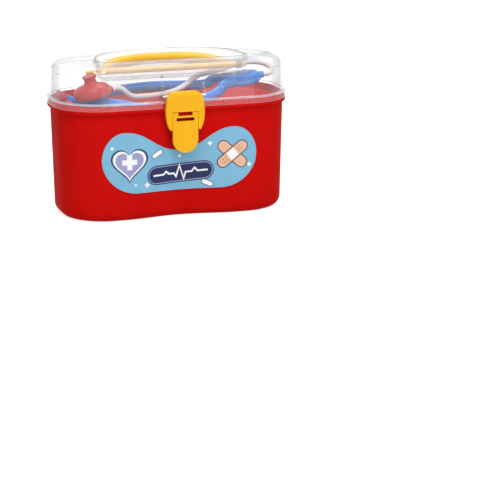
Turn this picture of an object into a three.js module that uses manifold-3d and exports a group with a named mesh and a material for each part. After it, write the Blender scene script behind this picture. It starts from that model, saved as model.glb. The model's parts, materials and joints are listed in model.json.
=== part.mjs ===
// Toy doctor case: a red tub with a clear hinged lid, a folding handle and a two-piece latch,
// with a toy stethoscope laid inside. Millimetres, +Z up, the front faces -Y.
// The origin is the centre of the tub's flat underside.
import * as THREE from "three";
import { mergeVertices } from "three/addons/utils/BufferGeometryUtils.js";
import Module from "manifold-3d";

const wasm = await Module();
wasm.setup();

// Clearances
const gap = 0.3; // between pieces that rest on or beside each other
const overrun = 2; // how far a cutter passes the face that it cuts

// Case outline, at the lid's skirt
const caseLength = 240;
const caseDepth = 114;
const endFlat = 18; // the straight middle of each end
const caseCorner = (caseDepth - endFlat) / 2;

// Tub
const baseEndInset = 6; // from the case outline in to the base
const baseSideInset = 3.5;
const baseCornerInset = 3;
const baseFillet = 9.5;
const baseWaist = 7; // how far the long sides draw in at the middle of the base
const waistReach = 60; // half the length over which they draw in
const tubWall = 2.2;
const tubFloor = 2.4;
const wallInset = 3.4; // from the case outline in to the wall under the lip
const lipInset = 0.3;
const lipTop = 111.2;
const lipHeight = 4.4;
const lipRise = 2.6; // the part of it that curves out from the wall
const lipBottom = lipTop - lipHeight;
const baseLength = caseLength - 2 * baseEndInset;
const baseDepth = caseDepth - 2 * baseSideInset;
const baseCorner = caseCorner - baseCornerInset;
const edgeRound = 0.6;
const ledgeDrop = 2.2; // the inner ledge slopes over this height

// Lid
const skirtWall = 1.6;
const skirtHeight = 6;
const stepThickness = 1.6;
const lidInset = 3.4;
const lidWall = 1.8;
const lidDraft = 0.6;
const lidHeight = 35.5; // above the skirt
const lidFillet = 8.4;
const skirtBottom = lipTop + gap;
const skirtTop = skirtBottom + skirtHeight;
const lidTop = skirtTop + lidHeight;
const rimInset = skirtWall + gap;
const rimWall = 2.2;
const rimTop = skirtTop - stepThickness - gap;

// Handle tray, sunk in the lid: straight in front and bowed at the back
const trayEndInset = 45; // from the case outline
const trayFrontInset = 26;
const trayBackInset = 18;
const traySideDepth = 11; // from the front to where the bowed back starts
const trayBow = 2.5; // exponent of the bowed back
const trayCorner = 9;
const trayDepth = 16.6; // below the lid's top
const trayWall = 1.6;
const trayFillet = 3;
const trayDraft = THREE.MathUtils.degToRad(3);
const collarRise = 2.7;
const collarWall = 1.8;
const trayHalf = caseLength / 2 - trayEndInset;
const trayFront = caseDepth / 2 - trayFrontInset;
const trayBack = caseDepth / 2 - trayBackInset;
const traySide = traySideDepth - trayFront;
const trayFloor = lidTop - trayDepth;
const collarTop = lidTop + collarRise;

// Handle
const pivotLift = 4.9; // above the tray's floor
const barRadius = 3.1;
const pegRadius = 2;
const pegEnd = 83; // half the length from peg end to peg end
const bossRadius = 4.4;
const bossLength = 4;
const gripClearance = 1.2; // from the grip out to the tray's wall
const gripWidth = 11.5;
const gripHeight = 10.5;
const gripShare = 0.5; // share of the bow's reach over which the arms grow to the grip
const armWidth = 8;
const armHeight = 6.6;
const recline = THREE.MathUtils.degToRad(10);
const padAt = 33;
const padLength = 9;
const padDepth = 6;
const pivotHeight = trayFloor + pivotLift;

// Rear hinges
const hingeOffset = 5.2; // from the skirt out to the axis
const knuckleRadius = 3.6;
const hingePinRadius = 1.5;
const hingeAt = 56;
const lidKnuckle = 10;
const tubKnuckle = 4.8;
const hingeY = caseDepth / 2 + hingeOffset;
const hingeZ = skirtBottom;

// Latch: an arched plate on the lid, and a lever with a window that hangs between its legs on two knuckles
const latchOffset = 7; // from the skirt out to the plate's face
const plateThickness = 4.4;
const plateTopHalf = 18.6;
const plateWidestHalf = 19.6;
const plateCorner = 9.6;
const plateWidestLift = 4.8; // above the lever's pivot
const legDrop = 15.8; // the legs' length below the lever's pivot
const legHalf = 16;
const flankHalf = 19.9; // the half width that the flanks' curve is drawn towards
const flankLift = 7.6; // above the legs' ends
const latchPinRadius = 1.3;
const barrelRadius = 4.7;
const barrelLift = 1.5; // between the skirt's top and the barrel
const cheekThickness = 1.8;
const cheekDrop = 1.2; // below the start of the lid's rounded edge
const cheekNose = 3.4;
const cheekTurn = THREE.MathUtils.degToRad(45);
const leverHalf = 12.8;
const leverLength = 38.4; // from its pivot down
const leverThickness = 3;
const leverRecess = 0.2;
const leverBarrel = 1.9;
const leverPinRadius = 0.8;
const leverPinShare = 0.67; // how far from the lever's side into the plate's leg its pins run
const leverPivotDrop = 5; // below the top of the tub's lip
const notchHalf = 7.4; // half the gap between the lever's two knuckles
const notchDrop = 1.8; // below the lever's pivot
const windowDrop = 3.6;
const windowHalf = 9.2;
const windowHeight = 3.4;
const windowRound = 0.8;
const catchHeight = 4.6;
const catchSide = 0.6; // inside the notch on each side
const catchLift = 0.8; // above the lever's pivot
const catchGap = 0.4;
const latchFace = caseDepth / 2 + latchOffset;
const barrelHeight = skirtTop + barrelLift + barrelRadius;
const cheekTop = lidTop - lidFillet - cheekDrop;
const leverPivotHeight = lipTop - leverPivotDrop;
const leverEnd = leverPivotHeight - leverLength;
const plateWidestHeight = leverPivotHeight + plateWidestLift;
const legHeight = leverPivotHeight - legDrop;
const windowTop = leverPivotHeight - windowDrop;
const windowBottom = windowTop - windowHeight;
const notchBottom = leverPivotHeight - notchDrop;
const catchHalf = notchHalf - catchSide;
const catchTop = leverPivotHeight + catchLift;
const catchBottom = catchTop - catchHeight;
const latchPinY = -(latchFace - barrelRadius);
const leverPivotY = -(latchFace - leverRecess - leverBarrel);
const leverBack = -(latchFace - leverRecess - leverThickness);
const latchPinHalf = plateWidestHalf + gap + cheekThickness;
const leverPinHalf = THREE.MathUtils.lerp(leverHalf, plateWidestHalf, leverPinShare);

// Label
const labelHalf = 79;
const labelDrop = 22; // from the top of the tub's lip down to the label's lobes
const labelHeight = 61.2;
const labelDip = 20.2; // how far the waist lies below the lobes
const labelLobe = 56; // from the middle to each lobe's top
const labelWidestDrop = 27.2; // from the lobes' tops down to the widest place
const labelFlatHalf = 42;
const labelThickness = 0.4;
const labelShift = -3; // it is stuck on a little off the middle
const labelRoundShare = 0.55; // how square its ends are
const labelFlowShare = 0.45; // how slowly its waist curves
const labelTop = lipTop - labelDrop;
const labelBottom = labelTop - labelHeight;
const labelWaist = labelTop - labelDip;
const labelWidest = labelTop - labelWidestDrop;

// Stethoscope
const hubAt = [78, -4, 128.2];
const chestAt = [-80, -17, 119];
const hubBeyondTray = 3;
const hubBehindFront = 53;
const hubAboveLip = 17;
const stretchLength = 50; // half the length over which its tubes stretch with the case
const stretchDepth = 44;

// Its places are laid out for one size of case. In another size its outer parts keep their distance
// to the tray's ends, the case's sides and the lip, and the tubes between them stretch.
function laid([x, y, z]) {
  const longer = trayHalf - (hubAt[0] - hubBeyondTray);
  const deeper = caseDepth / 2 - (hubBehindFront - hubAt[1]);
  const higher = lipTop - (hubAt[2] - hubAboveLip);
  const shareX = THREE.MathUtils.clamp(x / stretchLength, -1, 1);
  const shareY = THREE.MathUtils.clamp(y / stretchDepth, -1, 1);
  return [x + shareX * longer, y + shareY * deeper, z + higher];
}

const tubeRadius = 5;
const hubRadius = 18.5;
const hubCentre = laid(hubAt);
const hubTilt = THREE.MathUtils.degToRad(8);
const hubBaseHeight = 5;
const hubCapHeight = 4.4;
const hubCapRadius = 17;
const hubButtonRadius = 10.5;
const hubButtonRise = 1.2;
const hubRound = 1.4;
const socketRadius = 6.1;
const socketReach = 21.5;
const socketSpread = THREE.MathUtils.degToRad(36);
const hoseRadius = 2.7;
const nippleRadius = 3.5;
const nippleReach = 22;
const nippleSwing = THREE.MathUtils.degToRad(-8);
const slotWidth = 1.3;
const slotStep = 4.2;
const slotDepth = 3.6;
const slotStart = 6;
const slotCount = 4;
const earRadius = 7;
const earNeck = 4.6;
const earLength = 11.5;
const earTip = 2.4;
const earWidestShare = 0.75;
const chestCentre = laid(chestAt);
const chestLean = THREE.MathUtils.degToRad(-11);
const bellRadius = 18.6;
const bellHeight = 20.5;
const bellShoulder = 11.6;
const bellNeck = 5.6;
const bellWall = 2;
const bellRimShare = 0.33; // of its height
const bellShoulderShare = 0.8; // of its radius
const bellHollowShare = 0.67; // of its inner radius
const knobRadius = 7.2;
const knobThickness = 2;
const chestBaseRadius = 16.2;
const chestBaseHeight = 3.4;
const diaphragmRadius = 13.4;
const diaphragmThickness = 0.8;
const chestNippleHeight = 3.8;
const chestNippleReach = 20.5;

// Steps round curves
const cornerSteps = 8;
const sideSteps = 8;
const filletSteps = 3;
const wallSteps = 4;
const trayBackSteps = 22;
const trayCornerSteps = 3;
const handleSteps = 36;
const roundSides = 14;
const arcSteps = 6;
const tubeSides = 10;
const latheSides = 24;
const armSteps = 32;
const hoseSteps = 44;
const hoseSides = 8;
const weldDistance = 0.0001;

// Materials
const plastic = (color, roughness) =>
  new THREE.MeshStandardMaterial({ color, roughness, metalness: 0 });
const red = plastic(0xc41a17, 0.35);
const clear = plastic(0xe9eef2, 0.08);
clear.transparent = true;
clear.opacity = 0.3;
const yellow = plastic(0xf0be23, 0.35);
const skyBlue = plastic(0x78bcd8, 0.45);
const blue = plastic(0x2368dc, 0.35);
const paleGrey = plastic(0xd8d3cf, 0.5);
const white = plastic(0xf1f1ee, 0.5);
const steel = new THREE.MeshStandardMaterial({ color: 0xb9bcc0, roughness: 0.3, metalness: 1 });

// Solids

function toSolid(geometry) {
  const bare = new THREE.BufferGeometry();
  bare.setAttribute("position", geometry.getAttribute("position"));
  if (geometry.index) bare.setIndex(geometry.index);
  const merged = mergeVertices(bare, weldDistance);
  const source = new wasm.Mesh({
    numProp: 3,
    vertProperties: new Float32Array(merged.attributes.position.array),
    triVerts: new Uint32Array(merged.index.array),
  });
  return new wasm.Manifold(source);
}

function toGeometry(solid) {
  const source = solid.getMesh();
  const geometry = new THREE.BufferGeometry();
  geometry.setAttribute("position", new THREE.BufferAttribute(source.vertProperties, 3));
  geometry.setIndex(new THREE.BufferAttribute(source.triVerts, 1));
  geometry.computeVertexNormals();
  return geometry;
}

function piece(name, shape, material) {
  const mesh = new THREE.Mesh(shape.isBufferGeometry ? shape : toGeometry(shape), material);
  mesh.name = name;
  return mesh;
}

// A closed skin over a stack of rings with equal point counts; it starts facing down and ends facing up.
function loft(rings) {
  const count = rings[0].length;
  const positions = rings.flat().flatMap((p) => [p.x, p.y, p.z]);
  const index = [];
  for (let k = 0; k + 1 < rings.length; k++)
    for (let i = 0; i < count; i++) {
      const j = (i + 1) % count;
      const [a, b, c, d] = [k * count + i, k * count + j, (k + 1) * count + j, (k + 1) * count + i];
      index.push(a, b, c, a, c, d);
    }
  for (const [k, turned] of [[0, true], [rings.length - 1, false]]) {
    const centre = positions.length / 3;
    const middle = rings[k].reduce((sum, p) => sum.add(p), new THREE.Vector3()).divideScalar(count);
    positions.push(middle.x, middle.y, middle.z);
    for (let i = 0; i < count; i++) {
      const [a, b] = [k * count + i, k * count + ((i + 1) % count)];
      index.push(...(turned ? [centre, b, a] : [centre, a, b]));
    }
  }
  const geometry = new THREE.BufferGeometry();
  geometry.setAttribute("position", new THREE.Float32BufferAttribute(positions, 3));
  geometry.setIndex(index);
  return toSolid(geometry);
}

const raise = (points, z) => points.map((p) => new THREE.Vector3(p.x, p.y, z));

function box(x, y, z) {
  const geometry = new THREE.BoxGeometry(x[1] - x[0], y[1] - y[0], z[1] - z[0]);
  geometry.translate((x[0] + x[1]) / 2, (y[0] + y[1]) / 2, (z[0] + z[1]) / 2);
  return toSolid(geometry);
}

// A round bar along X between two places.
function barX(from, to, y, z, radius, sides = roundSides) {
  const geometry = new THREE.CylinderGeometry(radius, radius, to - from, sides);
  geometry.rotateZ(-Math.PI / 2);
  geometry.translate((from + to) / 2, y, z);
  return toSolid(geometry);
}

// An outline drawn in Y and Z, extruded along X.
function slabX(shape, from, to) {
  const settings = { depth: to - from, bevelEnabled: false, curveSegments: arcSteps };
  const geometry = new THREE.ExtrudeGeometry(shape, settings);
  const turn = new THREE.Matrix4().makeBasis(
    new THREE.Vector3(0, 1, 0),
    new THREE.Vector3(0, 0, 1),
    new THREE.Vector3(1, 0, 0),
  );
  geometry.applyMatrix4(turn);
  geometry.translate(from, 0, 0);
  return toSolid(geometry);
}

// An outline drawn in X and Z, extruded along Y.
function slabY(shape, from, to, shift = 0) {
  const settings = { depth: to - from, bevelEnabled: false, curveSegments: arcSteps };
  const geometry = new THREE.ExtrudeGeometry(shape, settings);
  geometry.rotateX(Math.PI / 2);
  geometry.translate(shift, to, 0);
  return toSolid(geometry);
}

function turned(points) {
  const profile = points.map(([r, z]) => new THREE.Vector2(r, z));
  const geometry = new THREE.LatheGeometry(profile, latheSides);
  geometry.rotateX(Math.PI / 2);
  return toSolid(geometry);
}

// A round tube along a smooth curve through points.
function tubeAlong(points, radius, steps, sides = tubeSides) {
  const curve = new THREE.CatmullRomCurve3(points.map((p) => new THREE.Vector3(...p)), false, "centripetal");
  const section = new THREE.Shape();
  for (let i = 0; i < sides; i++) {
    const angle = (2 * Math.PI * i) / sides;
    section[i ? "lineTo" : "moveTo"](radius * Math.cos(angle), radius * Math.sin(angle));
  }
  section.closePath();
  return toSolid(new THREE.ExtrudeGeometry(section, { steps, extrudePath: curve, bevelEnabled: false }));
}

// Outlines

// The case's outline from above: round corners, and long sides that draw in at the middle by waist.
function outline(length, depth, corner, waist) {
  const points = [];
  const [cx, cy] = [length / 2 - corner, depth / 2 - corner];
  [[1, 1], [-1, 1], [-1, -1], [1, -1]].forEach(([sx, sy], quarter) => {
    for (let i = 0; i <= cornerSteps; i++) {
      const angle = (Math.PI / 2) * (quarter + i / cornerSteps);
      points.push(new THREE.Vector2(sx * cx + corner * Math.cos(angle), sy * cy + corner * Math.sin(angle)));
    }
    if (quarter % 2 === 0)
      for (let i = 1; i < sideSteps; i++)
        points.push(new THREE.Vector2(sx * cx * (1 - (2 * i) / sideSteps), (sy * depth) / 2));
  });
  for (const p of points)
    if (Math.abs(p.x) < waistReach)
      p.y -= Math.sign(p.y) * waist * Math.cos((Math.PI * p.x) / (2 * waistReach)) ** 2;
  return points;
}

// The straight outline of lip, rim and lid, moved in by inset.
function caseRing(inset, z) {
  return raise(outline(caseLength - 2 * inset, caseDepth - 2 * inset, caseCorner - inset, 0), z);
}

// The tub's wall at a height, moved in by inset.
function wallRing(inset, z) {
  const rise = THREE.MathUtils.clamp(z / lipBottom, 0, 1);
  const mix = (low, high) => THREE.MathUtils.lerp(low, high, rise);
  const length = mix(baseLength, caseLength - 2 * wallInset);
  const depth = mix(baseDepth, caseDepth - 2 * wallInset);
  const corner = mix(baseCorner, caseCorner - wallInset);
  const waist = baseWaist * (1 - THREE.MathUtils.smoothstep(rise, 0, 1));
  return raise(outline(length - 2 * inset, depth - 2 * inset, corner - inset, waist), z);
}

const wallHeights = Array.from(
  { length: wallSteps + 1 },
  (_, k) => baseFillet + ((lipBottom - baseFillet) * k) / wallSteps,
);

// The handle tray's outline from above, moved out by offset.
function trayOutline(offset) {
  const half = trayHalf + offset;
  const corner = trayCorner + offset;
  const points = [];
  for (let i = 0; i <= trayBackSteps; i++) {
    const angle = (Math.PI * i) / trayBackSteps;
    const [c, s] = [Math.cos(angle), Math.sin(angle)];
    const x = half * Math.sign(c) * Math.abs(c) ** (2 / trayBow);
    const y = traySide + (trayBack - traySide + offset) * Math.max(s, 0) ** (2 / trayBow);
    points.push(new THREE.Vector2(x, y));
  }
  for (const side of [-1, 1])
    for (let i = 0; i <= trayCornerSteps; i++) {
      const share = side < 0 ? i / trayCornerSteps : 1 - i / trayCornerSteps;
      const angle = (Math.PI / 2) * share;
      const x = side * (half - corner + corner * Math.cos(angle));
      points.push(new THREE.Vector2(x, -(trayFront + offset - corner + corner * Math.sin(angle))));
    }
  return points;
}

// Half the length, at a distance behind the pivot, of a bowed outline that lies inset from the tray's.
function bowHalf(inset, y) {
  const share = (y - traySide) / (trayBack - traySide - inset);
  return (trayHalf - inset) * (1 - share ** trayBow) ** (1 / trayBow);
}

const trayAtPivot = bowHalf(0, 0) - (collarTop - pivotHeight) * Math.tan(trayDraft);

function trayRing(offset, z) {
  return raise(trayOutline(offset - (collarTop - z) * Math.tan(trayDraft)), z);
}

// Tub

function lipRings() {
  const rings = [];
  for (let i = 1; i <= filletSteps; i++) {
    const angle = (Math.PI / 2) * (i / filletSteps);
    const inset = wallInset - (wallInset - lipInset) * Math.sin(angle);
    rings.push(caseRing(inset, lipBottom + lipRise * (1 - Math.cos(angle))));
  }
  rings.push(caseRing(lipInset, lipTop - edgeRound), caseRing(lipInset + edgeRound, lipTop));
  return rings;
}

function rimRings() {
  const inner = rimInset + rimWall;
  return [
    caseRing(rimInset, lipTop),
    caseRing(rimInset, rimTop - edgeRound),
    caseRing(rimInset + edgeRound, rimTop),
    caseRing(inner - edgeRound, rimTop),
    caseRing(inner, rimTop - edgeRound),
    caseRing(inner, lipTop),
    caseRing(wallInset + tubWall, lipTop - ledgeDrop),
  ];
}

// The rounded turn between floor and wall, from the floor up.
function footRings(inset, floor) {
  const radius = baseFillet - inset;
  const rings = [];
  for (let i = 0; i < filletSteps; i++) {
    const angle = (Math.PI / 2) * (i / filletSteps);
    rings.push(wallRing(inset + radius * (1 - Math.sin(angle)), floor + radius * (1 - Math.cos(angle))));
  }
  return rings;
}

function tubShell() {
  return loft([
    ...footRings(0, 0),
    ...wallHeights.map((z) => wallRing(0, z)),
    ...lipRings(),
    ...rimRings(),
    ...wallHeights.map((z) => wallRing(tubWall, z)).reverse(),
    ...footRings(tubWall, tubFloor).reverse(),
  ]);
}

function latchCatch() {
  const front = leverBack + catchGap;
  const back = -(caseDepth / 2 - wallInset - tubWall / 2);
  return box([-catchHalf, catchHalf], [front, back], [catchBottom, catchTop]);
}

// The x ranges of one hinge's knuckles: the lid's in the middle, the tub's on both sides.
function hingeSpans(at) {
  const start = lidKnuckle / 2 + gap;
  return {
    lid: [[at - lidKnuckle / 2, at + lidKnuckle / 2]],
    tub: [-1, 1].map((side) => {
      const ends = [at + side * start, at + side * (start + tubKnuckle)];
      return ends.sort((a, b) => a - b);
    }),
  };
}

function knuckle([from, to], web) {
  return barX(from, to, hingeY, hingeZ, knuckleRadius).add(box([from, to], [web.from, hingeY], web.heights));
}

const hingePlaces = [-hingeAt, hingeAt];

function hingeBore(at) {
  const half = lidKnuckle / 2 + gap + tubKnuckle + overrun;
  return barX(at - half, at + half, hingeY, hingeZ, hingePinRadius + gap);
}

function makeTub() {
  let tub = tubShell().add(latchCatch());
  const web = {
    from: caseDepth / 2 - rimInset - rimWall / 2,
    heights: [hingeZ - knuckleRadius, lipTop],
  };
  for (const at of hingePlaces) {
    for (const span of hingeSpans(at).tub) tub = tub.add(knuckle(span, web));
    tub = tub.subtract(hingeBore(at));
  }
  return piece("case_tub", tub, red);
}

// Lid

function lidShell() {
  const inner = lidInset + lidWall;
  const ceiling = lidTop - lidWall;
  const innerFillet = lidFillet - lidWall;
  const rings = [];
  for (let i = 0; i <= filletSteps; i++) {
    const angle = (Math.PI / 2) * (i / filletSteps);
    const inset = inner + lidDraft + innerFillet * (1 - Math.sin(angle));
    rings.push(caseRing(inset, ceiling - innerFillet * (1 - Math.cos(angle))));
  }
  rings.push(caseRing(inner, skirtTop - stepThickness));
  rings.push(caseRing(skirtWall, skirtTop - stepThickness), caseRing(skirtWall, skirtBottom));
  rings.push(caseRing(0, skirtBottom), caseRing(0, skirtTop - edgeRound), caseRing(edgeRound, skirtTop));
  rings.push(caseRing(lidInset, skirtTop));
  for (let i = filletSteps; i >= 0; i--) {
    const angle = (Math.PI / 2) * (i / filletSteps);
    const inset = lidInset + lidDraft + lidFillet * (1 - Math.sin(angle));
    rings.push(caseRing(inset, lidTop - lidFillet * (1 - Math.cos(angle))));
  }
  return loft(rings);
}

function trayBody(offset, floor, top) {
  const rings = [];
  const turn = trayFillet + offset;
  for (let i = 0; i <= filletSteps; i++) {
    const angle = (Math.PI / 2) * (i / filletSteps);
    rings.push(trayRing(offset - turn * (1 - Math.sin(angle)), floor + turn * (1 - Math.cos(angle))));
  }
  rings.push(trayRing(offset, top));
  return loft(rings);
}

function collar() {
  return loft([
    raise(trayOutline(collarWall), lidTop - lidWall),
    raise(trayOutline(collarWall), collarTop - edgeRound),
    raise(trayOutline(collarWall - edgeRound), collarTop),
  ]);
}

// The bow that the grip's middle line follows: along X, and away from the pivot.
const bowInset = gripClearance + gripWidth / 2;
const bowReach = trayBack - traySide - bowInset;

function bowPoint(angle) {
  const [c, s] = [Math.cos(angle), Math.sin(angle)];
  const x = (trayHalf - bowInset) * Math.sign(c) * Math.abs(c) ** (2 / trayBow);
  return new THREE.Vector2(x, traySide + bowReach * s ** (2 / trayBow));
}

// Small pads on the tray's floor that the folded grip rests on.
function gripPads() {
  const share = padAt / (trayHalf - bowInset);
  const reach = traySide + bowReach * (1 - share ** trayBow) ** (1 / trayBow);
  const under = pivotHeight + reach * Math.sin(recline) - gripHeight / 2;
  const back = reach * Math.cos(recline);
  return [-1, 1].map((side) => {
    const middle = side * padAt;
    const z = [trayFloor - trayWall / 2, under - gap];
    return box([middle - padLength / 2, middle + padLength / 2], [back - padDepth / 2, back + padDepth / 2], z);
  });
}

function pegBosses() {
  return [-1, 1].map((side) => {
    const ends = [side * (trayAtPivot + trayWall / 2), side * (trayAtPivot + trayWall + bossLength)];
    ends.sort((a, b) => a - b);
    return barX(ends[0], ends[1], 0, pivotHeight, bossRadius);
  });
}

// The two cheeks that carry the latch pin, one on each side of the plate.
function latchCheeks() {
  const wall = -(caseDepth / 2 - lidInset - lidWall / 2);
  const shape = new THREE.Shape();
  shape.moveTo(wall, skirtTop - stepThickness / 2);
  shape.lineTo(wall, cheekTop);
  shape.lineTo(wall - lidWall, cheekTop);
  shape.absarc(latchPinY, barrelHeight, cheekNose, Math.PI - cheekTurn, Math.PI + cheekTurn, false);
  shape.lineTo(-(caseDepth / 2 - skirtWall), skirtTop - stepThickness / 2);
  shape.closePath();
  const start = plateWidestHalf + gap;
  return [-start - cheekThickness, start].map((from) => slabX(shape, from, from + cheekThickness));
}

function makeLid() {
  let lid = lidShell();
  lid = lid.add(trayBody(trayWall, trayFloor - trayWall, lidTop - lidWall / 2)).add(collar());
  for (const boss of pegBosses()) lid = lid.add(boss);
  lid = lid.subtract(trayBody(0, trayFloor, collarTop + overrun));
  for (const pad of gripPads()) lid = lid.add(pad);
  lid = lid.subtract(barX(-pegEnd - overrun, pegEnd + overrun, 0, pivotHeight, pegRadius + gap));
  for (const cheek of latchCheeks()) lid = lid.add(cheek);
  const pinReach = latchPinHalf + overrun;
  lid = lid.subtract(barX(-pinReach, pinReach, latchPinY, barrelHeight, latchPinRadius + gap));
  const web = { from: caseDepth / 2 - skirtWall / 2, heights: [skirtBottom + gap, hingeZ + knuckleRadius] };
  for (const at of hingePlaces) {
    for (const span of hingeSpans(at).lid) lid = lid.add(knuckle(span, web));
    lid = lid.subtract(hingeBore(at));
  }
  return piece("case_lid", lid, clear);
}

// Handle

// The handle lies in its own plane, with x along the pivot and v away from it, and is then tilted.
function makeHandle() {
  const rings = [];
  const start = Math.asin((-traySide / bowReach) ** (trayBow / 2));
  const step = (Math.PI - 2 * start) / handleSteps;
  for (let i = 0; i <= handleSteps; i++) {
    const angle = start + i * step;
    const centre = bowPoint(angle);
    const along = bowPoint(angle + step / 2).sub(bowPoint(angle - step / 2)).normalize();
    const grown = THREE.MathUtils.smoothstep(centre.y / bowReach, 0, gripShare);
    const width = THREE.MathUtils.lerp(armWidth, gripWidth, grown) / 2;
    const height = THREE.MathUtils.lerp(armHeight, gripHeight, grown) / 2;
    rings.push(
      Array.from({ length: tubeSides }, (_, k) => {
        const turn = (2 * Math.PI * k) / tubeSides;
        const out = width * Math.cos(turn);
        return new THREE.Vector3(centre.x - along.y * out, centre.y + along.x * out, height * Math.sin(turn));
      }),
    );
  }
  const inside = trayAtPivot - trayFillet;
  const handle = loft(rings)
    .add(barX(-inside, inside, 0, 0, barRadius))
    .add(barX(-pegEnd, pegEnd, 0, 0, pegRadius));
  const mesh = piece("carry_handle", handle, yellow);
  mesh.rotation.x = recline;
  mesh.position.z = pivotHeight;
  return mesh;
}

// Latch

function plateOutline() {
  const shape = new THREE.Shape();
  const top = barrelHeight + barrelRadius;
  const slotHalf = leverHalf + gap;
  const slotTop = leverPivotHeight + leverBarrel + gap;
  const legRound = (legHalf - slotHalf) / 2;
  shape.moveTo(slotHalf, slotTop);
  shape.lineTo(slotHalf, legHeight + legRound);
  shape.absarc(slotHalf + legRound, legHeight + legRound, legRound, Math.PI, 2 * Math.PI, false);
  shape.quadraticCurveTo(flankHalf, legHeight + flankLift, plateWidestHalf, plateWidestHeight);
  shape.lineTo(plateTopHalf, top - plateCorner);
  shape.absarc(plateTopHalf - plateCorner, top - plateCorner, plateCorner, 0, Math.PI / 2, false);
  shape.lineTo(plateCorner - plateTopHalf, top);
  shape.absarc(plateCorner - plateTopHalf, top - plateCorner, plateCorner, Math.PI / 2, Math.PI, false);
  shape.lineTo(-plateWidestHalf, plateWidestHeight);
  shape.quadraticCurveTo(-flankHalf, legHeight + flankLift, -legHalf, legHeight + legRound);
  shape.absarc(-slotHalf - legRound, legHeight + legRound, legRound, Math.PI, 2 * Math.PI, false);
  shape.lineTo(-slotHalf, slotTop);
  shape.closePath();
  return shape;
}

// The plate's section from the side: a flat plate with a round head about the pin.
function plateSection() {
  const shape = new THREE.Shape();
  const back = plateThickness - latchFace;
  const turnBack = Math.acos((back - latchPinY) / barrelRadius);
  shape.moveTo(-latchFace, barrelHeight);
  shape.lineTo(-latchFace, legHeight - overrun);
  shape.lineTo(back, legHeight - overrun);
  shape.absarc(latchPinY, barrelHeight, barrelRadius, -turnBack, Math.PI, false);
  return shape;
}

function makeLatchPlate() {
  const reach = plateWidestHalf + overrun;
  const pinEnd = leverPinHalf + gap;
  const plate = slabY(plateOutline(), -latchFace - overrun, 0)
    .intersect(slabX(plateSection(), -reach, reach))
    .subtract(barX(-reach, reach, latchPinY, barrelHeight, latchPinRadius + gap))
    .subtract(barX(-pinEnd, pinEnd, leverPivotY, leverPivotHeight, leverPinRadius + gap));
  return piece("latch_plate", plate, yellow);
}

function leverOutline() {
  const shape = new THREE.Shape();
  shape.moveTo(-leverHalf, leverPivotHeight);
  shape.lineTo(-leverHalf, leverEnd + leverHalf);
  shape.absarc(0, leverEnd + leverHalf, leverHalf, Math.PI, 2 * Math.PI, false);
  shape.lineTo(leverHalf, leverPivotHeight);
  shape.closePath();
  const hole = new THREE.Path();
  const [low, high] = [windowBottom, windowTop];
  hole.moveTo(windowRound - windowHalf, low);
  hole.lineTo(windowHalf - windowRound, low);
  hole.lineTo(windowHalf, low + windowRound);
  hole.lineTo(windowHalf, high - windowRound);
  hole.lineTo(windowHalf - windowRound, high);
  hole.lineTo(windowRound - windowHalf, high);
  hole.lineTo(-windowHalf, high - windowRound);
  hole.lineTo(-windowHalf, low + windowRound);
  hole.closePath();
  shape.holes.push(hole);
  return shape;
}

function makeLatchLever() {
  const lever = slabY(leverOutline(), leverRecess - latchFace, leverBack)
    .add(barX(-leverHalf, leverHalf, leverPivotY, leverPivotHeight, leverBarrel))
    .subtract(box([-notchHalf, notchHalf], [-latchFace, -latchFace + plateThickness], [notchBottom, lipTop]))
    .subtract(barX(-legHalf, legHalf, leverPivotY, leverPivotHeight, leverPinRadius + gap));
  return piece("latch_lever", lever, yellow);
}

function makePins() {
  const group = new THREE.Group();
  const latchPin = barX(-latchPinHalf, latchPinHalf, latchPinY, barrelHeight, latchPinRadius);
  group.add(piece("latch_pin", latchPin, steel));
  for (const side of [-1, 1]) {
    const [from, to] = [side * (notchHalf + gap), side * leverPinHalf].sort((a, b) => a - b);
    const leverPin = barX(from, to, leverPivotY, leverPivotHeight, leverPinRadius);
    group.add(piece(side < 0 ? "lever_pin_left" : "lever_pin_right", leverPin, steel));
  }
  hingePlaces.forEach((at, i) => {
    const reach = lidKnuckle / 2 + gap + tubKnuckle;
    const pin = barX(at - reach, at + reach, hingeY, hingeZ, hingePinRadius);
    group.add(piece(i ? "hinge_pin_right" : "hinge_pin_left", pin, steel));
  });
  return group;
}

// Label

function labelOutline() {
  const shape = new THREE.Shape();
  const round = labelRoundShare;
  const flow = labelFlowShare;
  shape.moveTo(0, labelWaist);
  shape.bezierCurveTo(-labelLobe * flow, labelWaist, -labelLobe * (1 - flow), labelTop, -labelLobe, labelTop);
  for (const side of [-1, 1]) {
    const lobe = [side * labelLobe, labelTop];
    const widest = [side * labelHalf, labelWidest];
    const foot = [side * labelFlatHalf, labelBottom];
    const high = [
      [side * (labelLobe + (labelHalf - labelLobe) * round), labelTop],
      [side * labelHalf, labelWidest + (labelTop - labelWidest) * round],
    ];
    const low = [
      [side * labelHalf, labelWidest - (labelWidest - labelBottom) * round],
      [side * (labelFlatHalf + (labelHalf - labelFlatHalf) * round), labelBottom],
    ];
    if (side < 0) {
      shape.bezierCurveTo(...high[0], ...high[1], ...widest);
      shape.bezierCurveTo(...low[0], ...low[1], ...foot);
      shape.lineTo(labelFlatHalf, labelBottom);
    } else {
      shape.bezierCurveTo(...low[1], ...low[0], ...widest);
      shape.bezierCurveTo(...high[1], ...high[0], ...lobe);
    }
  }
  shape.bezierCurveTo(labelLobe * (1 - flow), labelTop, labelLobe * flow, labelWaist, 0, labelWaist);
  return shape;
}

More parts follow.
